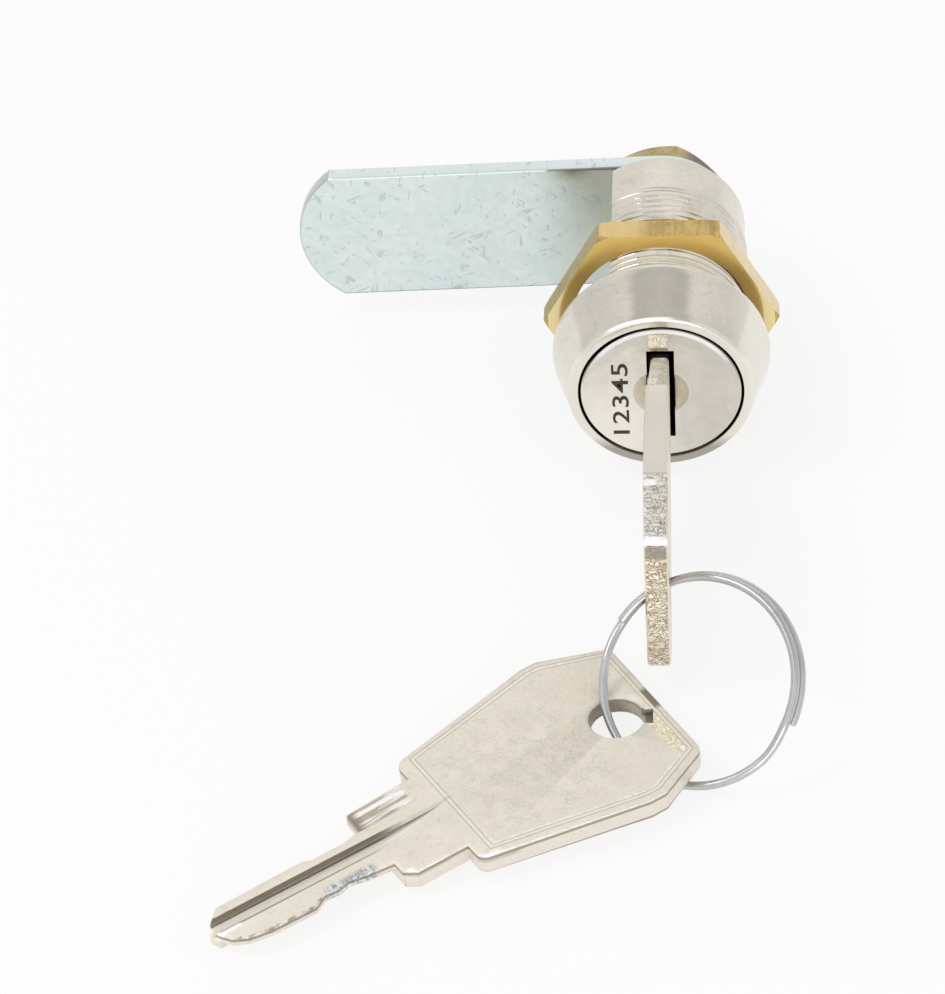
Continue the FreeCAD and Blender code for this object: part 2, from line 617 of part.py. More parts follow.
def main():
    nodes = {
        "housing": make_housing(),
        "plug": make_plug(),
        "stop_washer": make_stop_washer(),
        "cam": make_cam(),
        "cam_lock_washer": make_lock_washer(),
        "cam_nut": make_cam_nut(),
        "panel_nut": make_panel_nut(),
        "key": make_key(),
        "key_ring": make_key_ring(),
        "spare_key": make_spare_key(),
    }
    for index in range(WAFER_COUNT):
        nodes["wafer_%d" % (index + 1)] = make_wafer(index)
        nodes["wafer_spring_%d" % (index + 1)] = make_wafer_spring(index)
    os.makedirs("parts", exist_ok=True)
    for name, shape in nodes.items():
        print("%-16s solids %d valid %s volume %.2f" % (
            name, len(shape.Solids), shape.isValid(), shape.Volume))
        shape.exportStep("parts/%s.step" % name)


main()
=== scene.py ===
import logging
import math
from dataclasses import dataclass
from enum import Enum
from typing import Optional, Sequence

import bmesh
import bpy
import numpy as np
from mathutils import Matrix, Vector


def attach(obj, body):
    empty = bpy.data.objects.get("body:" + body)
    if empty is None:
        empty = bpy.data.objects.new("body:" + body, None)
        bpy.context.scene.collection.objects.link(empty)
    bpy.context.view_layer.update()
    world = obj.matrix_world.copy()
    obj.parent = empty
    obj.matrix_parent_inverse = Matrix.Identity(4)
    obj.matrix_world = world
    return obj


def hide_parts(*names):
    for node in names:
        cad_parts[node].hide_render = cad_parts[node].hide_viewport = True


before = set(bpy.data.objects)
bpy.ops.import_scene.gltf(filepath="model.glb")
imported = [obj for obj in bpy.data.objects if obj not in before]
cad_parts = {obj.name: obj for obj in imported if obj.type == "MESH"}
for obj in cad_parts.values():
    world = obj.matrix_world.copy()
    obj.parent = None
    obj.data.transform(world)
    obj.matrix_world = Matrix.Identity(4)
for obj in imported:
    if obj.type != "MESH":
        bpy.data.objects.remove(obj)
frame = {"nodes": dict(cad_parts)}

# A mailbox door's cam lock, with its key, a spare key and their split ring. Lengths are in
# millimetres unless a docstring says metres; MM turns them into Blender's metres.

LOG = logging.getLogger("mailbox_lock")
MM = 0.001
TINY = 1e-3
Array = np.ndarray
Triple = tuple[float, float, float]
Colour = Triple
Socket = bpy.types.NodeSocket


class Facing(Enum):
    """Whether a surface keeps the order its grid gives, or is turned inside out."""

    AS_BUILT = 0
    TURNED = 1


class Lay(Enum):
    """The row axis that a finish's drawn lines run along."""

    ACROSS = (0.06, 1.0, 1.0)
    ALONG = (1.0, 0.06, 1.0)
    UPRIGHT = (1.0, 1.0, 0.06)
    NONE = (1.0, 1.0, 1.0)


class Reach(Enum):
    """What a span is measured by: a place, a distance from an axis, a facing or a border's inset."""

    X = ("place", 0)
    Y = ("place", 1)
    Z = ("place", 2)
    FROM_Y = ("from", 1)
    FROM_Z = ("from", 2)
    FACING_X = ("facing", 0)
    FACING_Y = ("facing", 1)
    FACING_Z = ("facing", 2)
    INSET = ("inset", 0)

    def __call__(self, low: float, high: float, soft: float = 0.1) -> "Span":
        """A soft interval of this measure."""
        return Span(self, low, high, soft)


# Meshes


def link_object(name: str, data: bpy.types.ID) -> bpy.types.Object:
    """Make an object of a mesh, camera, lamp or curve, and put it in the scene."""
    piece = bpy.data.objects.new(name, data)
    bpy.context.scene.collection.objects.link(piece)
    return piece


def mesh_from_grid(
    name: str,
    points: Array,
    closed_rows: bool = False,
    closed_columns: bool = True,
    facing: Facing = Facing.AS_BUILT,
    smooth_angle: float = 35.0,
    cap_ends: bool = False,
) -> bpy.types.Object:
    """Skin a grid of points with quads: each cell of four neighbours is one face.

    Args:
        name: The piece's name.
        points: Array of shape (rows, columns, 3) in millimetres.
        closed_rows: Whether the last row joins the first.
        closed_columns: Whether the last column joins the first.
        facing: Whether to turn the faces inside out.
        smooth_angle: Edges sharper than this, in degrees, stay sharp.
        cap_ends: Whether the first and last row are closed by one face each.

    Returns:
        The linked object, at the origin, in metres.
    """
    rows, columns = points.shape[:2]
    index = np.arange(rows * columns).reshape(rows, columns)
    down = np.roll(index, -1, axis=0) if closed_rows else index[1:]
    here = index if closed_rows else index[:-1]
    if closed_columns:
        right_here, right_down = np.roll(here, -1, axis=1), np.roll(down, -1, axis=1)
    else:
        here, down, right_here, right_down = here[:, :-1], down[:, :-1], here[:, 1:], down[:, 1:]
    quads = np.stack([here, down, right_down, right_here], axis=-1).reshape(-1, 4)
    ends = [index[0], index[-1][::-1]] if cap_ends else []
    if facing is Facing.TURNED:
        quads, ends = quads[:, ::-1], [end[::-1] for end in ends]
    loops = np.concatenate([quads.ravel(), *ends])
    sizes = np.array([4] * len(quads) + [columns] * len(ends))
    mesh = bpy.data.meshes.new(name)
    mesh.vertices.add(rows * columns)
    mesh.vertices.foreach_set("co", (points * MM).astype(np.float32).ravel())
    mesh.loops.add(len(loops))
    mesh.loops.foreach_set("vertex_index", loops.astype(np.int32))
    mesh.polygons.add(len(sizes))
    mesh.polygons.foreach_set("loop_start", (np.cumsum(sizes) - sizes).astype(np.int32))
    mesh.update(calc_edges=True)
    mesh.validate()
    mesh.shade_smooth()
    mesh.set_sharp_from_angle(angle=math.radians(smooth_angle))
    return link_object(name, mesh)


def tube_along(name: str, path: Array, radius: Array, sides: int) -> bpy.types.Object:
    """Carry a circle along a path without twist: each frame is squared to the normal of the path's mean
    plane.

    Args:
        name: The piece's name.
        path: Points of the centre line in millimetres, shape (n, 3).
        radius: The circle's radius at each point, shape (n,).
        sides: Corners of the circle.

    Returns:
        The tube, closed by a face at each end.
    """
    way = np.gradient(path, axis=0)
    way /= np.linalg.norm(way, axis=1, keepdims=True)
    mean = np.cross(path - path.mean(axis=0), way).sum(axis=0)
    mean /= np.linalg.norm(mean)
    out = np.cross(way, mean)
    out /= np.linalg.norm(out, axis=1, keepdims=True)
    side = np.cross(way, out)
    turn = np.linspace(0.0, 2.0 * np.pi, sides, endpoint=False)
    ring = out[:, None] * np.cos(turn)[None, :, None] + side[:, None] * np.sin(turn)[None, :, None]
    points = path[:, None] + ring * radius[:, None, None]
    return mesh_from_grid(name, points, facing=Facing.TURNED, cap_ends=True)


def smooth_step(value: Array, low: float, high: float) -> Array:
    """Rise from 0 to 1 between low and high, level at both ends."""
    share = np.clip((value - low) / (high - low), 0.0, 1.0)
    return share * share * (3.0 - 2.0 * share)


# Shader node groups

GROUPS: dict[str, bpy.types.NodeTree] = {}
SCRATCH_TURNS = (24.0, 81.0, -37.0)
SCRATCH_STRETCH = (0.10, 1.1, 0.5)
SCRATCH_WIDTH = 0.05
SCRATCH_DEPTH = 0.35
SCRATCH_SHADE = 0.55
SCRATCH_ROUGHNESS = 0.18
PIT_DEPTH = 0.6
EDGE_FACING = 0.35
BUMP_DEPTH = 0.02


class Wiring:
    """Short words for adding and joining nodes in one tree."""

    def __init__(self, tree: bpy.types.NodeTree) -> None:
        """Keep the tree that nodes are added to."""
        self.tree = tree

    def feed(self, target: Socket, value: object) -> None:
        """Link a socket to an input, or set the input's own value."""
        if isinstance(value, Socket):
            self.tree.links.new(value, target)
        elif value is not None:
            target.default_value = value

    def node(self, kind: str, *values: object, **settings: object) -> bpy.types.Node:
        """Add a node, and set its properties and inputs.

        Args:
            kind: The node's type name after "ShaderNode".
            *values: Sockets or values for the first inputs, in order.
            **settings: Property values. A name with a capital letter is an input's, with
                underscores for blanks, and takes a socket or a value.

        Returns:
            The new node.
        """
        made = self.tree.nodes.new("ShaderNode" + kind)
        inputs = {label: value for label, value in settings.items() if label[0].isupper()}
        for label, value in settings.items():
            if label not in inputs:
                setattr(made, label, value)
        for number, value in enumerate(values):
            self.feed(made.inputs[number], value)
        for label, value in inputs.items():
            self.feed(made.inputs[label.replace("_", " ")], value)
        return made

    def group(self, name: str, **values: object) -> bpy.types.NodeOutputs:
        """Place a shared group.

        Args:
            name: The group's name.
            **values: Sockets or values for its inputs.

        Returns:
            The group's outputs.
        """
        return self.node("Group", node_tree=GROUPS[name], **values).outputs

    def math(self, kind: str, first: object, second: object = None) -> Socket:
        """A Math node's result from one or two sockets or numbers."""
        return self.node("Math", first, second, operation=kind).outputs[0]

    def times(self, first: object, second: object) -> Socket:
        """The product of two sockets or numbers."""
        return self.math("MULTIPLY", first, second)

    def dot(self, vector: Socket, axis: Sequence[float]) -> Socket:
        """How far a vector reaches along an axis."""
        return self.node("VectorMath", vector, axis, operation="DOT_PRODUCT").outputs["Value"]

    def spread(self, value: Socket, low: object, high: object) -> Socket:
        """Map a value from low..high to 0..1, held at the ends."""
        return self.node("MapRange", value, low, high, 0.0, 1.0).outputs[0]

    def fade(self, value: Socket, low: float, high: float) -> Socket:
        """Map a value from low..high to 1..0, held at the ends."""
        return self.math("SUBTRACT", 1.0, self.spread(value, low, high))

    def noise(self, place: Socket, scale: object, detail: float = 3.0) -> Socket:
        """A Noise texture's value at a place."""
        return self.node("TexNoise", Vector=place, Scale=scale, Detail=detail).outputs[0]

    def stretched(
        self, place: Socket, scale: Sequence[float], turn: Sequence[float] = (0, 0, 0)
    ) -> Socket:
        """A place turned by degrees and then scaled along each axis."""
        radians = [math.radians(value) for value in turn]
        turned = self.node("Mapping", Vector=place, Rotation=radians).outputs[0]
        return self.node("Mapping", Vector=turned, Scale=scale).outputs[0]

    def blend(self, share: object, first: object, second: object) -> Socket:
        """Mix two colours by a share.

        Args:
            share: A socket or a number from 0 to 1.
            first: A socket or a colour.
            second: A socket or a colour.

        Returns:
            The mixed colour's socket.
        """
        made = self.node("Mix", share, data_type="RGBA")
        for number, value in ((6, first), (7, second)):
            self.feed(made.inputs[number], (*value, 1.0) if isinstance(value, tuple) else value)
        return made.outputs[2]

    def plus(self, value: object, first: object, second: object) -> Socket:
        """A value with the product of two others added."""
        return self.math("ADD", value, self.times(first, second))

    def near(self, value: Socket, goal: float, share: Socket) -> Socket:
        """A value moved by a share of the way to a goal."""
        return self.plus(value, self.math("SUBTRACT", goal, value), share)


def fresh_wiring(owner: bpy.types.ID) -> Wiring:
    """Empty a material's or a world's nodes, and start wiring in it."""
    owner.use_nodes = True
    owner.node_tree.nodes.clear()
    return Wiring(owner.node_tree)


def new_group(
    name: str, inputs: dict[str, Optional[float]], outputs: Sequence[str]
) -> tuple[Wiring, bpy.types.NodeOutputs, bpy.types.NodeInputs]:
    """Start a shared shader group that puts out numbers, and keep it by its name.

    Args:
        name: The group's name.
        inputs: Socket name to its default number, or to None for a place.
        outputs: Names of the numbers that it puts out.

    Returns:
        Its wiring, the sockets that it reads and the sockets that it fills.
    """
    group = GROUPS[name] = bpy.data.node_groups.new(name, "ShaderNodeTree")
    for label, value in inputs.items():
        kind = "NodeSocketVector" if value is None else "NodeSocketFloat"
        socket = group.interface.new_socket(label, in_out="INPUT", socket_type=kind)
        if value is not None:
            socket.default_value = value
    for label in outputs:
        group.interface.new_socket(label, in_out="OUTPUT", socket_type="NodeSocketFloat")
    source, sink = group.nodes.new("NodeGroupInput"), group.nodes.new("NodeGroupOutput")
    return Wiring(group), source.outputs, sink.inputs


def build_cloud_group() -> None:
    """Slow stains and dull patches in plate: a large and a small noise, added."""
    wire, source, sink = new_group("Plate clouding", {"Place": None, "Scale": 0.35}, ["Mask"])
    large = wire.noise(source["Place"], source["Scale"], 4.0)
    small = wire.noise(source["Place"], wire.times(source["Scale"], 5.3), 5.0)
    total = wire.math("ADD", wire.times(large, 0.65), wire.times(small, 0.35))
    wire.feed(sink["Mask"], wire.spread(total, 0.42, 0.66))


def build_scratch_group() -> None:
    """Straight scratches three ways across the first two axes: drawn-out noise, cut thin."""
    inputs = {"Place": None, "Scale": 1.0, "Amount": 0.5}
    wire, source, sink = new_group("Handling scratches", inputs, ["Mask"])
    scaled = wire.node("VectorMath", source["Place"], operation="SCALE", Scale=source["Scale"]).outputs[0]
    most = 0.0
    for number, turn in enumerate(SCRATCH_TURNS):
        value = wire.noise(wire.stretched(scaled, SCRATCH_STRETCH, (0, 0, turn)), 1.0, 0.0)
        off = wire.math("ABSOLUTE", wire.math("SUBTRACT", value, 0.5))
        line = wire.fade(wire.math("DIVIDE", off, SCRATCH_WIDTH), 0.0, 1.0)
        sparse = wire.spread(wire.noise(scaled, 0.8 + 0.3 * number, 1.0), 0.60, 0.66)
        most = wire.math("MAXIMUM", most, wire.times(line, sparse))
    wire.feed(sink["Mask"], wire.times(most, source["Amount"]))


def build_grain_group() -> None:
    """A pitted sheared or cast skin: fine noise with sparse deeper pits."""
    wire, source, sink = new_group("Sheared grain", {"Place": None, "Scale": 3.0}, ["Height", "Pit mask"])
    cells = wire.node("TexVoronoi", Vector=source["Place"], Scale=wire.times(source["Scale"], 0.8))
    pits = wire.times(wire.fade(cells.outputs["Distance"], 0.08, 0.38), PIT_DEPTH)
    fine = wire.noise(source["Place"], source["Scale"], 4.0)
    wire.feed(sink["Height"], wire.math("SUBTRACT", fine, pits))
    wire.feed(sink["Pit mask"], pits)


def build_lines_group() -> None:
    """Turned or brushed marks: noise read from a place that the material has drawn out."""
    wire, source, sink = new_group("Tool marks", {"Place": None, "Scale": 6.0}, ["Height"])
    wire.feed(sink["Height"], wire.noise(source["Place"], source["Scale"]))


def build_span_group() -> None:
    """1 between two ends of a value, falling to 0 beyond them over a soft width."""
    inputs = {"Value": 0.0, "Low": 0.0, "High": 1.0, "Soft": 0.1}
    wire, source, sink = new_group("Soft span", inputs, ["Mask"])
    above = wire.math("SUBTRACT", source["Value"], source["Low"])
    below = wire.math("SUBTRACT", source["High"], source["Value"])
    inside = wire.math("DIVIDE", wire.math("MINIMUM", above, below), source["Soft"])
    wire.feed(sink["Mask"], wire.node("Clamp", wire.math("ADD", inside, 0.5)).outputs[0])


def build_chisel_group() -> None:
    """Torn strokes, as a blunt punch leaves them: the borders of bent, drawn-out cells."""
    wire, source, sink = new_group("Torn strokes", {"Place": None}, ["Height", "Line mask"])
    bend = wire.node("TexNoise", Vector=source["Place"], Scale=1.3, Detail=2.0).outputs["Color"]
    pushed = wire.node("VectorMath", bend, (1.4, 1.4, 1.4), source["Place"], operation="MULTIPLY_ADD")
    drawn = wire.stretched(pushed.outputs[0], (1.2, 1.2, 0.5))
    cells = wire.node("TexVoronoi", feature="DISTANCE_TO_EDGE", Vector=drawn, Scale=1.8)
    wire.feed(sink["Height"], wire.spread(cells.outputs["Distance"], 0.0, 0.22))
    wire.feed(sink["Line mask"], wire.fade(cells.outputs["Distance"], 0.02, 0.12))


def build_inset_group() -> None:
    """How far a place lies inside the key's bow: the least distance from any side of its border."""
    wire, source, sink = new_group("Border inset", {"Place": None}, ["Inset"])
    corners = [Vector(corner) for corner in KEY_BORDER]
    middle = sum(corners, Vector((0.0, 0.0))) / len(corners)
    least = None
    for start, end in zip(corners, corners[1:] + corners[:1]):
        side = (end - start).normalized()
        inward = Vector((-side.y, side.x))
        if inward.dot(middle - start) < 0.0:
            inward = -inward
        far = wire.math("SUBTRACT", wire.dot(source["Place"], (*inward, 0.0)), inward.dot(start))
        least = far if least is None else wire.math("MINIMUM", least, far)
    wire.feed(sink["Inset"], least)


# Finishes


@dataclass(frozen=True)
class Span:
    """One soft interval of a place, a distance or a facing; soft is the width of each end."""

    reach: Reach
    low: float
    high: float
    soft: float = 0.1


@dataclass(frozen=True)
class Tint:
    """A colour and gloss that hold where every one of some spans does.

    Attributes:
        tone: The colour.
        spans: Where it holds.
        share: How strongly it covers.
        roughness: The gloss it leads to, or None to keep what is there.
        broken: How sharply noise breaks it up, turned over where negative; 0 leaves it whole.
        raised: How far it stands out, in bumps.
        torn: The height of torn strokes in it.
        torn_tone: The colour of the lines between torn strokes, or None for the tone.
        metal: How metallic it is, or None to keep what is there.
        break_lay: The way that its noise is drawn out, or None for the skin's own grain.
        break_scale: The scale of that noise.
    """

    tone: Colour
    spans: tuple[Span, ...]
    share: float = 1.0
    roughness: Optional[float] = None
    broken: float = 0.0
    raised: float = 0.0
    torn: float = 0.0
    torn_tone: Optional[Colour] = None
    metal: Optional[float] = None
    break_lay: Optional[Lay] = None
    break_scale: float = 3.0


def light(tone: Colour, factor: float) -> Colour:
    """A tone made lighter or darker by a factor, held at white."""
    return tuple(min(1.0, value * factor) for value in tone)


@dataclass(frozen=True)
class MetalFinish:
    """A plated or bare metal skin: its two tones, its gloss, the marks of making and use, and painted
    light and shade.

    Attributes:
        name: The material's name.
        tone: Its main colour.
        stain: Its colour in clouded patches, with stain_roughness as their gloss.
        roughness: Its gloss.
        lay: The row axis of its tool marks, with their height, scale and share of darker streaks
            in lines, line_scale and line_share.
        scratches: How much its scratches show, with scratch_scale for their size and flat_turn to
            turn its face into their plane.
        grain: The height of its pitted grain, with grain_scale for its size.
        turned: Whether its tool marks run round the lock's axis.
        edge_tone: The colour of a plate's sheared edges, with their grain and gloss in edge_grain
            and edge_roughness; None where it has none.
        tints: Colours of single places, many of them painted light and shade, each over the ones before
            it.
        metal: How metallic it is.
    """

    name: str
    tone: Colour
    stain: Colour
    roughness: float
    stain_roughness: float
    lay: Lay = Lay.NONE
    lines: float = 0.0
    line_scale: float = 6.0
    line_share: float = 0.0
    cloud_scale: float = 0.35
    scratches: float = 0.4
    scratch_scale: float = 1.0
    flat_turn: Triple = (0.0, 0.0, 0.0)
    grain: float = 0.0
    grain_scale: float = 3.0
    turned: bool = False
    edge_tone: Optional[Colour] = None
    edge_grain: float = 0.0
    edge_roughness: float = 0.45
    tints: tuple[Tint, ...] = ()
    metal: float = 1.0

    def material(self) -> bpy.types.Material:
        """Build the material: clouding picks between the tones, marks go to roughness and bump.

        Returns:
            The finished material.
        """
        made = bpy.data.materials.new(self.name)
        wire = fresh_wiring(made)
        place = self.place(wire)
        cloud = wire.group("Plate clouding", Place=place, Scale=self.cloud_scale)["Mask"]
        flat = wire.stretched(place, (1.0, 1.0, 1.0), self.flat_turn)
        scratch = wire.group(
            "Handling scratches", Place=flat, Scale=self.scratch_scale, Amount=self.scratches
        )["Mask"]
        grain = wire.group("Sheared grain", Place=place, Scale=self.grain_scale)
        colour = wire.blend(cloud, self.tone, self.stain)
        colour = wire.blend(scratch, colour, light(self.stain, SCRATCH_SHADE))
        rough = wire.plus(self.roughness, cloud, self.stain_roughness - self.roughness)
        rough = wire.plus(rough, scratch, SCRATCH_ROUGHNESS)
        height = wire.times(grain["Height"], self.grain)
        height = wire.plus(height, scratch, -SCRATCH_DEPTH)
        if self.lines:
            marks = self.tool_marks(wire, place)
            height = wire.plus(height, marks, self.lines)
            if self.line_share:
                streak = wire.times(wire.spread(marks, 0.46, 0.60), self.line_share)
                colour = wire.blend(streak, colour, light(self.stain, 0.8))
        if self.edge_tone is not None:
            across = wire.math("ABSOLUTE", wire.dot(self.facing(wire), (0.0, 0.0, 1.0)))
            edge = wire.math("LESS_THAN", across, EDGE_FACING)
            colour = wire.blend(edge, colour, wire.blend(grain["Pit mask"], self.edge_tone, self.stain))
            height = wire.plus(height, wire.times(grain["Height"], self.edge_grain), edge)
            rough = wire.near(rough, self.edge_roughness, edge)
        metal = self.metal
        for tint in self.tints:
            mask = self.tint_mask(wire, place, tint, grain["Height"])
            tone = tint.tone
            if tint.torn:
                strokes = wire.group("Torn strokes", Place=place)
                tone = wire.blend(strokes["Line mask"], tone, tint.torn_tone or tone)
                height = wire.plus(height, wire.times(strokes["Height"], tint.torn), mask)
            colour = wire.blend(mask, colour, tone)
            if tint.roughness is not None:
                rough = wire.near(rough, tint.roughness, mask)
            if tint.raised:
                height = wire.plus(height, mask, tint.raised)
            if tint.metal is not None:
                metal = wire.times(wire.plus(1.0, mask, tint.metal - 1.0), metal)
        bump = wire.node("Bump", Strength=1.0, Distance=BUMP_DEPTH * MM, Height=height).outputs[0]
        shader = wire.node(
            "BsdfPrincipled", Base_Color=colour, Roughness=rough, Metallic=metal, Normal=bump
        )
        wire.node("OutputMaterial", shader.outputs[0])
        return made

    def place(self, wire: Wiring) -> Socket:
        """The surface's own place, in millimetres."""
        own = wire.node("TexCoord").outputs["Object"]
        return wire.node("VectorMath", own, operation="SCALE", Scale=1.0 / MM).outputs[0]

    def facing(self, wire: Wiring) -> Socket:
        """The way the face points, in the piece's own axes."""
        normal = wire.node("NewGeometry").outputs["True Normal"]
        return wire.node(
            "VectorTransform", normal, vector_type="NORMAL", convert_from="WORLD", convert_to="OBJECT"
        ).outputs[0]

    def tool_marks(self, wire: Wiring, place: Socket) -> Socket:
        """The height of lines along the lay, or round the lock's axis where the piece is turned."""
        if self.turned:
            split = wire.node("SeparateXYZ", place).outputs
            drawn = wire.node("CombineXYZ", self.from_axis(wire, split, 1), split[1]).outputs[0]
        else:
            drawn = wire.stretched(place, self.lay.value)
        return wire.group("Tool marks", Place=drawn, Scale=self.line_scale)["Height"]

    @staticmethod
    def from_axis(wire: Wiring, place: bpy.types.NodeOutputs, axis: int) -> Socket:
        """How far a place lies from one of its axes."""
        squares = [wire.times(place[other], place[other]) for other in range(3) if other != axis]
        return wire.math("SQRT", wire.math("ADD", *squares))

    def tint_mask(self, wire: Wiring, place: Socket, tint: Tint, grain: Socket) -> Socket:
        """Where a tint shows: its spans multiplied, and broken up by noise if it asks for that.

        Args:
            wire: The material's wiring.
            place: The surface's place in millimetres.
            tint: The tint.
            grain: The skin's grain, which breaks up a tint that names no lay.

        Returns:
            The mask.
        """
        where = wire.node("SeparateXYZ", place).outputs
        way = wire.node("SeparateXYZ", self.facing(wire)).outputs
        mask = tint.share
        for span in tint.spans:
            kind, axis = span.reach.value
            if kind == "inset":
                value = wire.group("Border inset", Place=place)["Inset"]
            elif kind == "from":
                value = self.from_axis(wire, where, axis)
            else:
                value = (way if kind == "facing" else where)[axis]
            inside = wire.group("Soft span", Value=value, Low=span.low, High=span.high, Soft=span.soft)
            mask = wire.times(inside["Mask"], mask)
        if tint.broken:
            if tint.break_lay is not None:
                drawn = wire.stretched(place, tint.break_lay.value)
                grain = wire.group("Tool marks", Place=drawn, Scale=tint.break_scale)["Height"]
            half = 0.1 / tint.broken
            mask = wire.times(mask, wire.spread(grain, 0.5 - half, 0.5 + half))
        return mask


@dataclass(frozen=True)
class KeyFinish(MetalFinish):
    """A key's skin, placed in the key's own axes: along it, across it and up from its face."""

    origin: Triple = (0.0, 0.0, 0.0)
    along: Triple = (1.0, 0.0, 0.0)
    across: Triple = (0.0, 1.0, 0.0)
    up: Triple = (0.0, 0.0, 1.0)

    def in_key(self, wire: Wiring, vector: Socket) -> Socket:
        """Turn a vector into the key's own three axes."""
        parts = [wire.dot(vector, axis) for axis in (self.along, self.across, self.up)]
        return wire.node("CombineXYZ", *parts).outputs[0]

    def place(self, wire: Wiring) -> Socket:
        """The place in millimetres from the key's hole, in the key's own axes."""
        moved = wire.node("VectorMath", super().place(wire), self.origin, operation="SUBTRACT")
        return self.in_key(wire, moved.outputs[0])

    def facing(self, wire: Wiring) -> Socket:
        """The way the face points, in the key's own axes."""
        return self.in_key(wire, super().facing(wire))


def dress(piece: bpy.types.Object, material: bpy.types.Material) -> None:
    """Give a piece one material in place of what it has."""
    piece.data.materials.clear()
    piece.data.materials.append(material)


# The camera and the stage


@dataclass
class Viewpoint:
    """The camera: where it stands and how it is turned, fitted to the lock's edges."""

    place: Triple = (4.374, -223.809, 175.428)
    yaw: float = 5.04
    pitch: float = -41.072
    roll: float = -4.138
    focal: float = 2676.0
    centre: tuple[float, float] = (527.04, 497.91)
    image: tuple[int, int] = (945, 994)

    def build(self) -> None:
        """Make the camera and set it as the scene's own."""
        yaw, pitch, roll = (math.radians(value) for value in (self.yaw, self.pitch, self.roll))
        flat = math.cos(pitch)
        ahead = Vector((-math.sin(yaw) * flat, math.cos(yaw) * flat, math.sin(pitch)))
        level = ahead.cross(Vector((0, 0, 1))).normalized()
        above = level.cross(ahead)
        right = level * math.cos(roll) + above * math.sin(roll)
        up = above * math.cos(roll) - level * math.sin(roll)
        data = bpy.data.cameras.new("camera")
        camera = link_object("camera", data)
        turn = Matrix((right, up, -ahead)).transposed().to_4x4()
        camera.matrix_world = Matrix.Translation(Vector(self.place) * MM) @ turn
        longest = max(self.image)
        data.sensor_width = 36.0
        data.sensor_fit = "AUTO"
        data.lens = self.focal / longest * data.sensor_width
        data.shift_x = (self.image[0] / 2.0 - self.centre[0]) / longest
        data.shift_y = (self.centre[1] - self.image[1] / 2.0) / longest
        data.clip_start = 0.01
        data.clip_end = 20.0
        bpy.context.scene.camera = camera


@dataclass
class Studio:
    """A pale floor, a soft room and two soft lamps.

    The floor lies at a height in millimetres and reaches out in metres. Each lamp is its place, its
    width and its height in metres and its power in watts; all face one point, also in metres.
    """

    floor_height: float = -12.1
    floor_reach: float = 1.6
    floor_tone: Colour = (0.92, 0.92, 0.92)
    floor_veil: float = 0.80
    zenith: float = 0.66
    zenith_from: float = 0.80
    zenith_soft: float = 0.05
    side_loss: float = 0.22
    lamp_aim: Triple = (-0.01, -0.02, 0.0)
    lamps: tuple[tuple[Triple, float, float, float], ...] = (
        ((-0.30, -0.10, 0.45), 0.20, 0.20, 0.5),
        ((0.05, -0.55, 0.12), 0.30, 0.20, 0.45),
    )

    def build(self) -> None:
        """Make the floor, the world and the lamps."""
        self.build_floor()
        self.build_world()
        for number, (place, width, height, power) in enumerate(self.lamps):
            self.build_lamp(f"lamp_{number + 1}", place, width, height, power)

    def build_floor(self) -> None:
        """Lay one large sheet under the object; a white veil over it keeps its shadows faint."""
        reach = self.floor_reach / MM
        axis = np.linspace(-reach, reach, 3)
        x, y = np.meshgrid(axis, axis, indexing="ij")
        points = np.stack([x, y, np.full_like(x, self.floor_height)], axis=-1)
        floor = mesh_from_grid("floor", points, closed_columns=False)
        made = bpy.data.materials.new("pale floor")
        wire = fresh_wiring(made)
        plain = wire.node(
            "BsdfPrincipled", Base_Color=(*self.floor_tone, 1.0), Roughness=0.8, Specular_IOR_Level=0.1
        )
        path = wire.node("LightPath").outputs
        seen = wire.math("ADD", path["Is Camera Ray"], path["Is Glossy Ray"])
        seen = wire.math("MINIMUM", wire.math("ADD", seen, path["Is Transmission Ray"]), 1.0)
        veil = wire.node("Emission").outputs[0]
        mixed = wire.node("MixShader", wire.times(seen, self.floor_veil), plain.outputs[0], veil)
        wire.node("OutputMaterial", mixed.outputs[0])
        dress(floor, made)

    def build_world(self) -> None:
        """A white room, a little darker to its sides and darker again straight overhead."""
        world = bpy.data.worlds.new("room")
        bpy.context.scene.world = world
        wire = fresh_wiring(world)
        way = wire.node("SeparateXYZ", wire.node("TexCoord").outputs["Generated"]).outputs
        overhead = wire.spread(way[2], self.zenith_from, self.zenith_from + self.zenith_soft)
        fallen = wire.times(overhead, 1.0 - self.zenith)
        aside = wire.times(wire.math("ABSOLUTE", way[0]), self.side_loss)
        level = wire.math("SUBTRACT", wire.math("SUBTRACT", 1.0, aside), fallen)
        grey = wire.node("CombineColor", level, level, level).outputs[0]
        room, behind = wire.node("Background", grey, 1.0), wire.node("Background", Strength=1.0)
        seen = wire.node("LightPath").outputs["Is Camera Ray"]
        mixed = wire.node("MixShader", seen, room.outputs[0], behind.outputs[0])
        wire.node("OutputWorld", mixed.outputs[0])

    def build_lamp(self, name: str, place: Triple, width: float, height: float, power: float) -> None:
        """Hang one soft rectangular lamp that faces the lock.

        Args:
            name: The lamp's name.
            place: Where it hangs, in metres.
            width: Its width in metres.
            height: Its height in metres.
            power: Its power in watts.
        """
        data = bpy.data.lights.new(name, "AREA")
        data.shape = "RECTANGLE"
        data.size, data.size_y, data.energy = width, height, power
        lamp = link_object(name, data)
        lamp.location = place
        aim = Vector(self.lamp_aim) - Vector(place)
        lamp.rotation_euler = aim.to_track_quat("-Z", "Y").to_euler()


# The lock


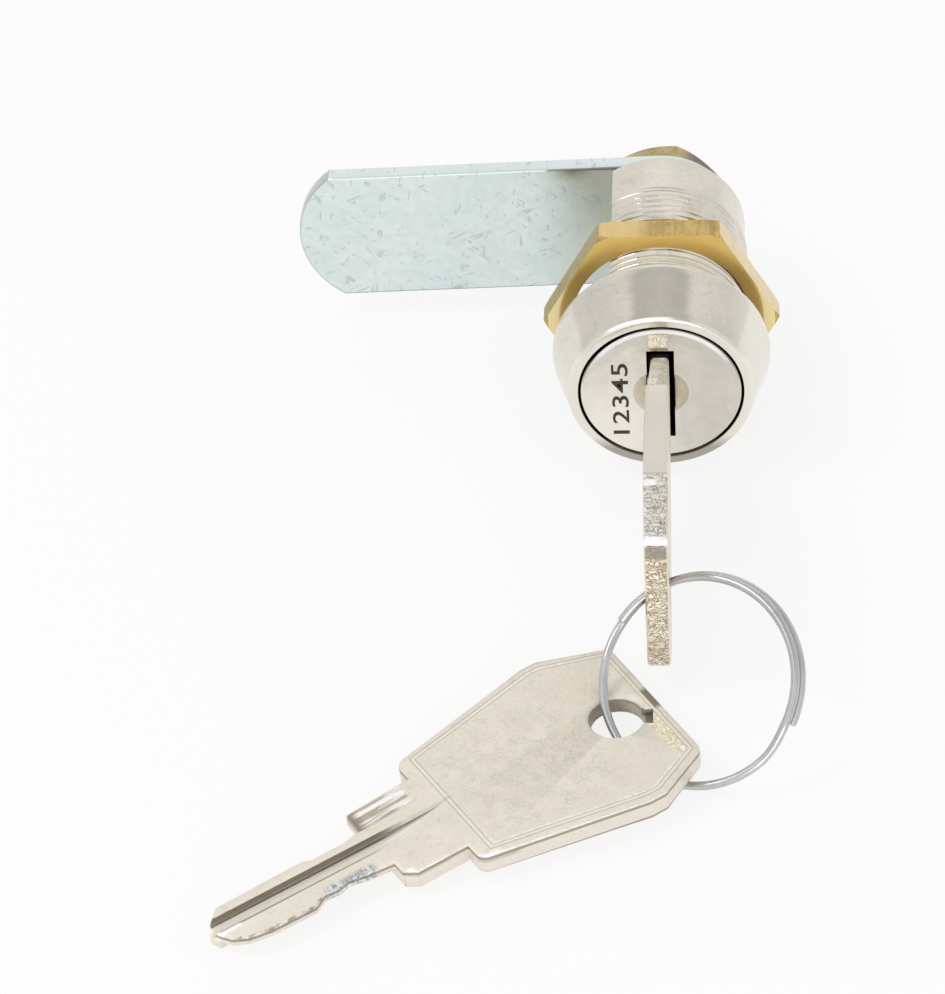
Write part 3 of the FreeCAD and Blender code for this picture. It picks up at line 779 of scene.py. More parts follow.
@dataclass
class ThreadedHousing:
    """The lock's housing: flared head, threaded barrel with a flat, and what is inside it.

    Sizes are in millimetres; heights run along the axis from the head's rear face, which is at 0.
    """

    head_length: float = 7.1
    head_front: float = 9.75
    head_rear: float = 11.5
    rim_round: float = 0.45
    recess: float = 8.65
    seat: float = -3.5
    crest: float = 9.45
    root: float = 9.0
    pitch: float = 1.0
    flank: tuple[float, float] = (0.12, 0.86)
    run_in: tuple[float, float] = (0.3, 1.3)
    run_out: float = 1.2
    thread_end: float = 16.9
    lip: float = 0.05
    rim_turn: float = 0.83
    cone_end: float = -0.62
    cone_gap: float = 0.02
    rear_edge: tuple[tuple[float, float], ...] = ((-0.5, 0.0), (-0.2, 0.0), (-0.06, 0.06), (0.0, 0.2))
    plain: float = 9.3
    plain_gap: float = 0.15
    barrel_end: float = 23.0
    end_chamfer: float = 0.45
    flat: float = 5.26
    bore: float = 4.5
    groove_half: float = 2.51
    groove_reach: float = 5.4
    groove_span: tuple[float, float] = (-2.6, 9.0)
    stop_floor: float = 21.15
    stop_seat: float = 5.15
    stop_reach: float = 6.65
    stop_sector: tuple[float, float] = (-66.0, 66.0)
    columns: int = 264
    thread_rows_per_turn: int = 12

    def angles(self) -> Array:
        """Angles round the axis, from +X to +Z.

        Returns:
            Even steps, with one more on every corner of the flat and of the grooves, and two at each
            side of the stop's sector, which keep its wall steep.
        """
        even = np.linspace(0.0, 360.0, self.columns, endpoint=False)
        radii = (self.crest, self.plain, self.plain - self.end_chamfer)
        turns = [math.degrees(math.acos(self.flat / radius)) for radius in radii]
        keen = [180.0 + sign * turn for sign in (-1.0, 1.0) for turn in turns]
        corner = math.degrees(math.atan2(self.groove_half, self.groove_reach))
        leave = math.degrees(math.asin(self.groove_half / self.bore))
        for middle in (0.0, 90.0):
            keen += [middle - leave, middle - corner, middle + corner, middle + leave]
        for edge in self.stop_sector:
            keen += [edge - 0.01, edge + 0.01]
        return np.radians(np.unique(np.round(np.concatenate([even, np.array(keen) % 360.0]), 4)))

    def flatten(self, radius: Array, angle: Array) -> Array:
        """Hold a radius inside the flat: the smaller of it and the flat's own distance."""
        return np.minimum(radius, self.flat / np.maximum(-np.cos(angle), TINY))

    def thread_radius(self, y: Array, angle: Array) -> Array:
        """The thread's radius: a rounded triangle wave of the height less the turn's share of pitch."""
        phase = (y / self.pitch - angle / (2.0 * np.pi)) % 1.0
        ramp = 1.0 - np.abs(2.0 * phase - 1.0)
        wave = smooth_step(ramp, *self.flank)
        begun = smooth_step(y, *self.run_in)
        ended = smooth_step(y, self.thread_end - self.run_out, self.thread_end)
        return self.crest - (self.crest - self.root) * wave * (begun * (1.0 - ended))

    def groove_radius(self, angle: Array) -> Array:
        """The bore where wafers rise: out to a straight end and side wall in two directions."""
        radius = np.full_like(angle, self.bore)
        for middle in (0.0, np.pi / 2.0):
            off = np.abs((angle - middle + np.pi) % (2.0 * np.pi) - np.pi)
            end = self.groove_reach / np.maximum(np.cos(off), TINY)
            side = self.groove_half / np.maximum(np.sin(off), TINY)
            reach = np.where(off < np.pi / 2.0, np.minimum(end, side), 0.0)
            radius = np.maximum(radius, reach)
        return radius

    def stop_radius(self, angle: Array) -> Array:
        """The seat of the stop washer, and the arc that its tab sweeps."""
        turned = (np.degrees(angle) + 180.0) % 360.0 - 180.0
        inside = (turned >= self.stop_sector[0]) & (turned <= self.stop_sector[1])
        return np.where(inside, self.stop_reach, self.stop_seat)

    def build(self) -> bpy.types.Object:
        """Carry the wall's profile round the axis; every row is a height and a radius by angle.

        Returns:
            The closed housing.
        """
        angle = self.angles()
        level = np.ones_like(angle)
        face, rim = -self.head_length, self.head_front - self.rim_round
        rows = [
            (face + self.lip, level * self.recess),
            (face, level * (self.recess + self.lip)),
            (face, level * rim),
        ]
        for share in np.linspace(0.12, 1.0, 7):
            turn = share * math.pi / 2.0 * self.rim_turn
            out = rim + self.rim_round * math.sin(turn)
            rows.append((face + self.rim_round * (1.0 - math.cos(turn)), level * out))
        start, narrow = rows[-1]
        wide = self.head_rear - self.cone_gap
        for share in np.linspace(0.1, 1.0, 10):
            rows.append((start + (self.cone_end - start) * share, narrow + (wide - narrow) * share))
        rows += [(y, level * (self.head_rear - inset)) for y, inset in self.rear_edge]
        count = int(self.thread_end / self.pitch * self.thread_rows_per_turn)
        for y in np.linspace(0.0, self.thread_end, count + 1):
            thread = self.thread_radius(np.full_like(angle, y), angle)
            rows.append((float(y), self.flatten(thread, angle)))
        start, end = self.thread_end + self.plain_gap, self.barrel_end - self.end_chamfer
        plain = self.flatten(level * self.plain, angle)
        rows += [(start + (end - start) * share, plain) for share in (0.0, 0.33, 0.66, 1.0)]
        bore, grooves, stop = level * self.bore, self.groove_radius(angle), self.stop_radius(angle)
        rows += [
            (self.barrel_end, self.flatten(level * (self.plain - self.end_chamfer), angle)),
            (self.barrel_end, stop), (self.stop_floor, stop), (self.stop_floor, bore),
            (self.groove_span[1], bore), (self.groove_span[1], grooves),
            (self.groove_span[0], grooves), (self.groove_span[0], bore),
            (self.seat, bore), (self.seat, level * self.recess),
        ]
        radius = np.stack([row[1] for row in rows])
        height = np.array([row[0] for row in rows])[:, None] * np.ones_like(radius)
        points = np.stack([radius * np.cos(angle), height, radius * np.sin(angle)], axis=-1)
        return mesh_from_grid(
            "housing_threaded", points, closed_rows=True, facing=Facing.TURNED, smooth_angle=38.0
        )


@dataclass
class CamPlate:
    """The flat cam, with edges that the press has rounded a little."""

    front: float = 23.1
    thickness: float = 2.0
    half_width: float = 8.0
    reach: float = 41.1
    bulge: float = 4.2
    droop: float = 1.4
    hole_half: float = 3.15
    edge_round: float = 0.22

    def outline(self) -> Array:
        """Points round the plate: root arc, upper side, tip arc, lower side, turned by the droop.

        Returns:
            Array of shape (points, 2) of x and z.
        """
        tip_radius = (self.half_width ** 2 + self.bulge ** 2) / (2.0 * self.bulge)
        tip_half = math.asin(self.half_width / tip_radius)
        corner = -self.reach + self.bulge
        root_turn = np.linspace(-math.pi / 2.0, math.pi / 2.0, 160)
        root = np.stack([np.cos(root_turn), np.sin(root_turn)], axis=-1) * self.half_width
        side = np.linspace(0.0, corner, 60)[1:-1]
        upper = np.stack([side, np.full_like(side, self.half_width)], axis=-1)
        tip_turn = np.linspace(math.pi - tip_half, math.pi + tip_half, 90)
        centre = -self.reach + tip_radius
        tip = np.stack([centre + tip_radius * np.cos(tip_turn), tip_radius * np.sin(tip_turn)], axis=-1)
        lower = upper[::-1] * np.array([1.0, -1.0])
        plan = np.concatenate([root, upper, tip, lower])
        turn = math.radians(self.droop)
        across = plan[:, 0] * math.cos(turn) - plan[:, 1] * math.sin(turn)
        rise = plan[:, 0] * math.sin(turn) + plan[:, 1] * math.cos(turn)
        return np.stack([across, rise], axis=-1)

    def build(self) -> bpy.types.Object:
        """Carry the edge's profile round the outline, and close both faces to the square hole.

        Returns:
            The plate.
        """
        edge = self.outline()
        way = np.roll(edge, -1, axis=0) - np.roll(edge, 1, axis=0)
        way /= np.linalg.norm(way, axis=1, keepdims=True)
        out = np.stack([way[:, 1], -way[:, 0]], axis=-1)
        hole = edge / np.abs(edge).max(axis=1, keepdims=True) * self.hole_half
        middle, back = (hole + edge) * 0.5, self.front + self.thickness
        turns = np.linspace(0.0, math.pi / 2.0, 6)
        rows = [(self.front, hole), (self.front, middle)]
        for start, sign, order in ((self.front, 1.0, turns), (back, -1.0, turns[::-1])):
            for turn in order:
                inset = self.edge_round * (1.0 - math.sin(turn))
                rise = self.edge_round * (1.0 - math.cos(turn))
                rows.append((start + sign * rise, edge - out * inset))
        rows += [(back, middle), (back, hole)]
        points = np.stack([
            np.stack([flat[:, 0], np.full(len(flat), y), flat[:, 1]], axis=-1) for y, flat in rows
        ])
        return mesh_from_grid(
            "cam_plate", points, closed_rows=True, facing=Facing.TURNED, smooth_angle=30.0
        )


@dataclass
class SplitRing:
    """The ring: one wire, which laps itself side by side and steps across where it is single."""

    key_crossing: Triple = (-0.25, -36.403, -0.295)
    radius: float = 9.94
    wire: float = 0.425
    tilt: float = 43.786
    azimuth: float = -122.278
    key_angle: float = 319.13
    half_pitch: float = 0.49
    nest: float = 0.12
    start: float = 177.5
    end: float = 347.0
    shift: float = 25.0
    end_round: float = 0.15
    end_least: float = 0.3
    samples: int = 700
    sides: int = 28

    def axes(self) -> tuple[Array, Array, Array]:
        """The level and steep directions in the ring's plane, and its normal."""
        tilt, azimuth = math.radians(self.tilt), math.radians(self.azimuth)
        normal = np.array([
            math.sin(tilt) * math.cos(azimuth), math.sin(tilt) * math.sin(azimuth), math.cos(tilt)
        ])
        level = np.cross(normal, [0.0, 0.0, 1.0])
        level /= np.linalg.norm(level)
        return level, np.cross(normal, level), normal

    def centre(self) -> Array:
        """The ring's centre, one radius in from where the wire crosses the key's middle."""
        level, steep, _ = self.axes()
        turn = math.radians(self.key_angle)
        out = level * math.cos(turn) + steep * math.sin(turn)
        return np.array(self.key_crossing) - self.radius * out

    def build(self) -> bpy.types.Object:
        """Carry a circle along the wire: radius and side shift change smoothly with the angle.

        Returns:
            The ring.
        """
        level, steep, normal = self.axes()
        angle = np.linspace(self.start, self.end + 360.0, self.samples)
        first = 1.0 - smooth_step(angle, self.end, self.end + self.shift)
        second = smooth_step(angle, self.start + 360.0 - self.shift, self.start + 360.0)
        side = self.half_pitch * (second - first)
        reach = self.radius + self.nest * (first - second)
        turn = np.radians(angle)[:, None]
        out = level * np.cos(turn) + steep * np.sin(turn)
        path = self.centre() + out * reach[:, None] + normal * side[:, None]
        from_end = np.minimum(angle - angle[0], angle[-1] - angle) * math.pi / 180.0 * self.radius
        inward = np.clip(from_end / self.end_round, 0.0, 1.0)
        rounded = np.sqrt(np.clip(1.0 - (1.0 - inward) ** 2, self.end_least, 1.0))
        return tube_along("split_ring", path, self.wire * rounded, self.sides)


@dataclass
class WaferSpring:
    """One coil spring under a wafer's arm."""

    number: int
    x: float = 3.17
    low: float = -2.05
    length: float = 2.45
    radius: float = 0.29
    wire: float = 0.07
    turns: float = 6.5
    samples: int = 140
    sides: int = 8

    def build(self, y: float) -> bpy.types.Object:
        """Wind a helix whose height rises evenly with its turn, flattened at both ends.

        Args:
            y: The spring's place along the lock's axis.

        Returns:
            The spring.
        """
        share = np.linspace(0.0, 1.0, self.samples)
        turn = share * self.turns * 2.0 * np.pi
        rise = self.low + self.wire + (self.length - 2.0 * self.wire) * smooth_step(share, -0.1, 1.1)
        rise = np.clip(rise, self.low + self.wire, self.low + self.length - self.wire)
        across, along = self.x + self.radius * np.cos(turn), y + self.radius * np.sin(turn)
        path = np.stack([across, along, rise], axis=-1)
        return tube_along(f"spring_coil_{self.number}", path, np.full(len(path), self.wire), self.sides)


@dataclass
class FaceNumber:
    """A plain made-up number stamped beside the keyway, read from the bottom up."""

    digits: str = "12345"
    height: float = 1.75
    middle: tuple[float, float] = (-4.25, -0.8)
    length: float = 9.4
    face: float = -6.95
    depth: float = 0.012

    def build(self) -> bpy.types.Object:
        """Turn the figures into a thin mesh on the plug's face.

        Returns:
            The figures as one piece.
        """
        curve = bpy.data.curves.new("face_number", "FONT")
        curve.body = self.digits
        curve.size = 1.0
        curve.space_character = 1.06
        curve.extrude = 0.01
        curve.offset = 0.009
        curve.resolution_u = 4
        text = link_object("number_shape", curve)
        bpy.context.view_layer.update()
        mesh = bpy.data.meshes.new_from_object(text)
        bpy.data.objects.remove(text)
        place = np.zeros(len(mesh.vertices) * 3)
        mesh.vertices.foreach_get("co", place)
        place = place.reshape(-1, 3)
        low, high = place.min(axis=0), place.max(axis=0)
        share = (place - low) / (high - low)
        along = (share[:, 0] - 0.5) * self.length
        across = (share[:, 1] - 0.5) * self.height
        deep = share[:, 2] * self.depth
        placed = np.stack([
            self.middle[0] - across, self.face - deep, self.middle[1] + along
        ], axis=-1) * MM
        mesh.vertices.foreach_set("co", placed.astype(np.float32).ravel())
        mesh.update()
        return link_object("stamped_number", mesh)


@dataclass
class RoundedKey:
    """A key from its solid, with the edges of both faces rounded as a press rounds them."""

    node: str
    up: Triple
    width: float = 0.32
    steps: int = 3
    least_edge: float = 0.12
    least_angle: float = 50.0

    def build(self, solid: bpy.types.Object) -> bpy.types.Object:
        """Copy the solid's mesh, join its triangles into flat faces and bevel the outline.

        Args:
            solid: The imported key.

        Returns:
            The rounded key.
        """
        shape = bmesh.new()
        shape.from_mesh(solid.data)
        shape.transform(solid.matrix_world)
        bmesh.ops.remove_doubles(shape, verts=shape.verts, dist=1e-3 * MM)
        bmesh.ops.dissolve_limit(
            shape, angle_limit=math.radians(0.5), verts=shape.verts, edges=shape.edges
        )
        up = Vector(self.up)
        chosen = []
        for edge in shape.edges:
            angle = edge.calc_face_angle_signed(0.0)
            if len(edge.link_faces) != 2 or angle < math.radians(self.least_angle):
                continue
            level = [abs(face.normal.dot(up)) > 0.99 for face in edge.link_faces]
            if level[0] != level[1] and edge.calc_length() > self.least_edge * MM:
                chosen.append(edge)
        bmesh.ops.bevel(
            shape, geom=chosen, offset=self.width * MM, segments=self.steps, profile=0.5,
            affect="EDGES", clamp_overlap=False,
        )
        mesh = bpy.data.meshes.new(f"{self.node}_rounded")
        shape.to_mesh(mesh)
        shape.free()
        mesh.shade_smooth()
        mesh.set_sharp_from_angle(angle=math.radians(32.0))
        return link_object(f"{self.node}_rounded", mesh)


# The finishes' values: lengths in millimetres, tints in the order in which they cover each other

X, Y, Z, FROM_Y, FROM_Z, FACING_X, FACING_Y, FACING_Z, INSET = Reach
FRONT = FACING_Y(-1.1, -0.9, 0.05)
PLUG_FACE = Y(-7.2, -6.85, 0.05)
# Painted shade for gaps, recesses, the bore and the keyway, and a painted highlight
PAINTED_GAP_SHADE = (0.01, 0.01, 0.01)
PAINTED_HOLLOW_SHADE = (0.05, 0.045, 0.04)
GLINT = (1.0, 1.0, 0.98)
NICKEL_TONE = (0.76, 0.72, 0.63)
NICKEL = MetalFinish(
    "bright nickel housing", NICKEL_TONE, light(NICKEL_TONE, 0.90), 0.12, 0.20,
    lines=0.3, line_scale=5.0, turned=True, scratches=0.25, grain=0.10, cloud_scale=0.28,
    tints=(
        # The thread's roots, in painted shade
        Tint((0.54, 0.49, 0.41), (FROM_Y(8.5, 9.12, 0.06), Y(0.0, 17.0, 0.2)), 0.45),
        # Painted light on the head's right side and on its rim
        Tint((0.86, 0.83, 0.76), (X(8.2, 12.0, 2.0), Y(-7.2, 0.0)), 0.7),
        Tint((0.88, 0.85, 0.77), (Y(-7.2, -6.7, 0.1),), 0.6),
        # Painted shade, near black, in the recess in the head and in the bore
        Tint(PAINTED_GAP_SHADE, (FROM_Y(0.0, 8.70, 0.02), Y(-7.0, -0.5, 0.1)), 1.0, 0.9),
        Tint(PAINTED_HOLLOW_SHADE, (FROM_Y(0.0, 5.1, 0.02), Y(-0.5, 22.0, 0.1)), 1.0, 0.7),
        # Painted shade on the rim's lowest part, and a painted highlight at its top
        Tint((0.36, 0.34, 0.29), (Y(-7.2, -6.6, 0.1), Z(-12.0, -6.6, 1.5)), 0.9),
        Tint(GLINT, (Y(-7.05, -6.78, 0.08), X(-5.2, 1.2, 1.2), Z(6.0, 12.0)), 1.0, 0.3, metal=0.0),
    ),
)
PLUG_NICKEL = MetalFinish(
    "satin nickel plug", (0.77, 0.735, 0.655), (0.70, 0.665, 0.585), 0.16, 0.26,
    flat_turn=(90.0, 0.0, 0.0), scratches=0.12, grain=0.25, grain_scale=2.0, cloud_scale=0.6,
    tints=(
        # Painted shade in the gap round the plug and on the core behind its face
        Tint(PAINTED_GAP_SHADE, (FROM_Y(8.30, 9.0, 0.02), Y(-6.93, 20.0, 0.02)), 1.0, 0.9),
        Tint(PAINTED_GAP_SHADE, (FROM_Y(8.20, 9.0, 0.02), Z(3.0, 9.0, 4.0)), 1.0, 0.9),
        Tint((0.012, 0.010, 0.009), (Y(-6.2, 12.0, 0.25), FROM_Y(0.0, 6.5)), 1.0, 0.9),
        # Painted light and shade on the face, from side to side and near its rim
        Tint((0.58, 0.55, 0.49), (PLUG_FACE, X(2.0, 9.0, 5.0)), 0.5),
        Tint((0.92, 0.88, 0.79), (PLUG_FACE, X(-9.0, -0.5, 5.0), Z(-9.0, 0.0, 5.0)), 0.75),
        Tint((0.60, 0.575, 0.52), (PLUG_FACE, FROM_Y(6.7, 7.75, 0.35), Z(3.2, 9.0, 1.5)), 0.45),
        Tint((1.0, 1.0, 0.99), (PLUG_FACE, FROM_Y(7.72, 8.2, 0.12), Z(4.6, 9.0, 2.0)), 0.85, 0.35,
             metal=0.15),
        # A pale gold painted reflection above the keyway, and painted shade in the keyway
        Tint((1.0, 0.94, 0.82), (PLUG_FACE, X(-1.15, 0.75, 0.15), Z(5.9, 7.55, 0.1)), 0.95, 0.4,
             torn=0.8, torn_tone=(0.66, 0.55, 0.40), metal=0.15),
        Tint(PAINTED_HOLLOW_SHADE, (Y(-6.85, -6.0, 0.1), X(-1.5, 1.5, 0.05), Z(-6.1, 5.6, 0.1)), 1.0, 0.7),
    ),
)
BRASS_TONE = (0.62, 0.45, 0.17)
NUT_BRASS = MetalFinish(
    "machined golden brass", BRASS_TONE, light(BRASS_TONE, 0.72), 0.22, 0.34,
    lay=Lay.ALONG, lines=1.6, line_scale=1.8, line_share=0.55, scratches=0.4, grain=0.3, cloud_scale=0.5,
    tints=(
        # Painted light on the nut's front, painted shade on its middle, a painted highlight on its lower
        # rim
        Tint((0.98, 0.715, 0.23), (FRONT,), 0.95, 0.34, metal=0.45),
        Tint((0.36, 0.22, 0.055), (FRONT, FROM_Y(8.0, 11.1, 1.0), Z(-13.0, 8.5, 5.0)), 0.82),
        Tint((1.0, 0.83, 0.43), (FRONT, FROM_Y(11.0, 14.0, 0.2), Z(-13.0, 5.0, 3.0)), 1.0, 0.34,
             metal=0.3),
        # Painted light and shade on the nut's flats: top and right lighter, left darker
        Tint((0.80, 0.62, 0.30), (FACING_Z(0.9, 1.1, 0.05), X(-7.0, -1.5, 2.0)), 0.7),
        Tint((0.52, 0.36, 0.13), (FACING_X(-0.95, -0.6, 0.05),), 0.8),
        Tint((0.86, 0.71, 0.43), (FACING_X(0.6, 0.95, 0.05),), 0.75),
    ),
)
REAR_BRASS = MetalFinish(
    "dull brass nut", (0.56, 0.45, 0.23), (0.40, 0.31, 0.14), 0.24, 0.36, grain=0.3, cloud_scale=0.5,
    tints=(
        # Painted shade on the chamfer at the rear, and on the flats
        Tint((0.12, 0.11, 0.12), (Y(28.7, 31.0, 0.25), FACING_Y(-0.5, 0.7, 0.1)), 0.9),
        Tint((0.12, 0.11, 0.11), (X(3.0, 8.0, 1.5), FACING_Z(0.2, 1.1, 0.2)), 0.8),
    ),
)
CAM_ZINC = MetalFinish(
    "rolled zinc plate", (0.745, 0.825, 0.80), (0.69, 0.79, 0.79), 0.30, 0.38,
    lay=Lay.ACROSS, lines=0.2, line_scale=3.0, scratches=0.62, scratch_scale=0.7,
    flat_turn=(90.0, 0.0, 0.0), grain=0.25, grain_scale=1.6, cloud_scale=0.12, metal=0.8,
    tints=(
        # The front: cloudy all over, with painted shade near the barrel
        Tint((0.60, 0.64, 0.60), (FRONT,), 0.25, broken=1.2, break_lay=Lay.NONE, break_scale=1.1),
        Tint((0.44, 0.48, 0.42), (X(-11.5, -4.5, 5.0), FRONT), 0.48),
        # A brown painted reflection of the nut at the upper edge, and that edge's painted shadow
        Tint((0.22, 0.17, 0.055), (X(-11.2, -8.4, 2.4), Z(7.0, 8.4, 1.9), FRONT), 1.0),
        Tint((0.12, 0.10, 0.06), (X(-12.6, -3.4, 1.0), Z(7.5, 8.2, 0.15), FACING_Y(-1.1, -0.5, 0.1)),
             0.8),
        # The plate's lower edge and its tip
        Tint((0.30, 0.34, 0.34), (FACING_Z(-1.1, -0.1, 0.05),), 0.9),
        Tint((0.42, 0.46, 0.46), (FACING_X(-1.1, -0.2, 0.1),), 0.7),
    ),
)
WASHER_STEEL = MetalFinish(
    "dull zinc washer", (0.45, 0.46, 0.48), (0.32, 0.33, 0.35), 0.32, 0.50, grain=0.4,
)
WAFER_BRASS = MetalFinish(
    "stamped wafer brass", (0.78, 0.62, 0.34), (0.60, 0.44, 0.20), 0.28, 0.42, grain=0.3,
)
SPRING_STEEL = MetalFinish(
    "spring wire", (0.56, 0.56, 0.58), (0.42, 0.42, 0.44), 0.28, 0.40,
)
RING_STEEL = MetalFinish(
    "bright ring wire", (0.58, 0.585, 0.59), (0.50, 0.50, 0.50), 0.25, 0.34, scratches=0.1,
)
KEY_TONE = (0.86, 0.80, 0.69)
KEY_BORDER = [
    (-19.4, 7.95), (-3.7, 11.3), (-2.0, 11.3), (4.95, 8.6),
    (3.95, -8.6), (-2.0, -11.3), (-3.7, -11.3), (-19.4, -7.95),
]
GOLD_EDGE = (1.0, 0.95, 0.80)
GOLD_SHADE = (0.30, 0.20, 0.10)
# Painted shade and painted highlight tones for lines, steps and walls
PAINTED_SHADE_LINE = (0.42, 0.38, 0.31)
PAINTED_HIGHLIGHT_LINE = (0.98, 0.96, 0.92)
STEP_SHADE = (0.52, 0.48, 0.41)
PAINTED_WALL_SHADE = (0.32, 0.285, 0.23)
ON_FACE = Z(-0.5, 0.3, 0.05)
BELOW_FACE = Z(-3.0, -0.3, 0.1)
CORNER = Z(-0.42, 0.2, 0.05)
WALL = FACING_Z(-0.3, 0.5, 0.1)
BLADE_SIDE = Z(-1.2, -0.03, 0.03)
HOLE_WALL = FROM_Z(0.0, 2.72, 0.05)
MILLED = (X(-33.4, -28.4, 0.8), Y(-4.0, -2.2, 0.4))
BOW_END = FACING_X(0.93, 1.1, 0.05)
BOW_SLOPE = (X(-1.9, 4.6, 0.1), FACING_Y(0.7, 0.99, 0.05))
KEY_TINTS = (
    # The bow's torn middle
    Tint(light(KEY_TONE, 0.96), (ON_FACE, X(-17.5, -4.0, 2.0), Y(-8.0, 7.0, 2.0)), 0.5, torn=1.6,
         torn_tone=light(KEY_TONE, 0.72), broken=1.5, break_lay=Lay.NONE, break_scale=0.55),
    # The bow's raised border between two lines of painted shade
    Tint(PAINTED_SHADE_LINE, (INSET(0.62, 0.74, 0.06), ON_FACE), 0.6),
    Tint((0.92, 0.88, 0.80), (INSET(0.76, 1.02, 0.08), ON_FACE), 0.6, 0.35, raised=1.5),
    Tint(PAINTED_SHADE_LINE, (INSET(1.04, 1.16, 0.06), ON_FACE), 0.5),
    # A dark spot and two lines of painted highlight on that border
    Tint((0.20, 0.16, 0.10), (INSET(0.1, 0.8, 0.2), X(3.0, 5.5, 0.4), Y(-1.4, 1.5, 0.6), ON_FACE), 0.85),
    Tint(PAINTED_HIGHLIGHT_LINE, (INSET(1.14, 1.40, 0.1), Y(-12.0, -6.0, 0.5), ON_FACE), 0.9, 0.3, broken=0.5,
         metal=0.3),
    Tint(PAINTED_HIGHLIGHT_LINE, (INSET(0.74, 1.0, 0.1), Y(9.0, 12.0, 0.5), ON_FACE), 0.8, 0.3, broken=0.5, metal=0.3),
    # The blade's groove: painted light on its floor, painted shade on its sides, a painted highlight at
    # its end
    Tint((0.90, 0.85, 0.74), (X(-45.0, -25.0, 2.0), Y(-1.2, 0.57, 0.06), BLADE_SIDE), 0.9, 0.3,
         metal=0.3),
    Tint((0.14, 0.11, 0.07), (X(-45.0, -24.5, 3.0), Y(0.57, 0.98, 0.04), BLADE_SIDE), 0.9),
    Tint((0.20, 0.16, 0.10), (X(-45.0, -27.0, 1.5), Y(-1.26, -1.08, 0.06), Z(-0.2, 0.2, 0.05)), 0.6),
    Tint((1.0, 0.99, 0.95), (X(-26.0, -19.0, 2.0), Y(-0.9, 0.3, 0.3), BLADE_SIDE), 0.95, 0.4, metal=0.1),
    # The ramp milled in the collar: torn, with patches of painted shade and painted highlight
    Tint((0.90, 0.87, 0.80), (X(-26.6, -21.0, 0.3), Y(2.3, 5.2, 0.1), BLADE_SIDE), 0.8, 0.35, torn=1.5,
         metal=0.4),
    Tint((0.44, 0.38, 0.28), (X(-26.6, -20.5, 0.8), Y(2.3, 5.0, 0.3), BLADE_SIDE), 0.85, broken=-1.6,
         break_lay=Lay.ACROSS, break_scale=1.6),
    Tint((0.30, 0.24, 0.16), (X(-27.2, -26.2, 0.5), Y(2.2, 5.0, 0.2), BLADE_SIDE), 0.85),
    Tint(GLINT, (X(-26.4, -20.5, 0.8), Y(2.5, 5.4, 0.3), BLADE_SIDE), 0.95, 0.3, broken=1.6, metal=0.1,
         break_lay=Lay.ACROSS, break_scale=1.6),
    # Painted shade on the wall of the bow's hole, deeper on its upper side, and in the pocket beside it
    Tint((0.50, 0.46, 0.38), (HOLE_WALL, BELOW_FACE), 0.9, 0.5, metal=0.5),
    Tint((0.24, 0.21, 0.16), (HOLE_WALL, Y(1.6, 4.0, 1.0), BELOW_FACE), 0.7, 0.5, metal=0.5),
    Tint((0.17, 0.14, 0.10), (X(1.8, 3.6, 0.1), Y(-2.6, -0.4, 0.2), Z(-1.0, -0.2, 0.1)), 0.9, metal=0.6),
    # A painted highlight on the corner of the bow's lower side
    Tint(PAINTED_HIGHLIGHT_LINE, (Z(-0.26, -0.08, 0.05), Y(-12.0, -6.0, 0.5)), 0.8, broken=0.7, metal=0.4),
    # The blade's lower edge, with dark broken marks and a painted highlight near its tip
    Tint((0.30, 0.26, 0.20), (X(-42.5, -33.8, 0.5), Y(-4.0, -1.4, 0.3), Z(-0.55, -0.06, 0.08)), 0.8,
         broken=1.5, break_lay=Lay.NONE, break_scale=1.4),
    Tint(GLINT, (X(-44.5, -41.4, 0.3), Y(-1.6, -0.9, 0.15), Z(-0.4, 0.2, 0.05)), 0.9, 0.3, metal=0.1),
    # A milled patch below the groove, with painted highlights in streaks
    Tint((0.58, 0.59, 0.62), MILLED, 0.95, 0.45, torn=3.0, torn_tone=(0.30, 0.30, 0.31)),
    Tint((1.0, 1.0, 1.0), MILLED, 0.6, 0.3, broken=1.4, metal=0.2, break_lay=Lay.ALONG, break_scale=2.4),
    # The lower corners of bow and collar: a painted highlight, and painted shade under it
    Tint(GLINT, (X(-21.0, -18.2, 1.0), Y(-8.9, -7.7, 0.3), CORNER), 0.9, 0.3, metal=0.1),
    Tint(STEP_SHADE, (X(-21.0, -16.4, 1.0), Y(-8.9, -7.0, 0.3), Z(-0.95, -0.42, 0.1)), 0.7),
    Tint(GLINT, (X(-27.2, -25.6, 0.5), Y(-6.0, -4.9, 0.3), CORNER), 0.9, 0.3, metal=0.1),
    Tint(STEP_SHADE, (X(-27.2, -22.0, 1.0), Y(-6.0, -4.9, 0.3), Z(-0.8, -0.42, 0.1)), 0.7),
)
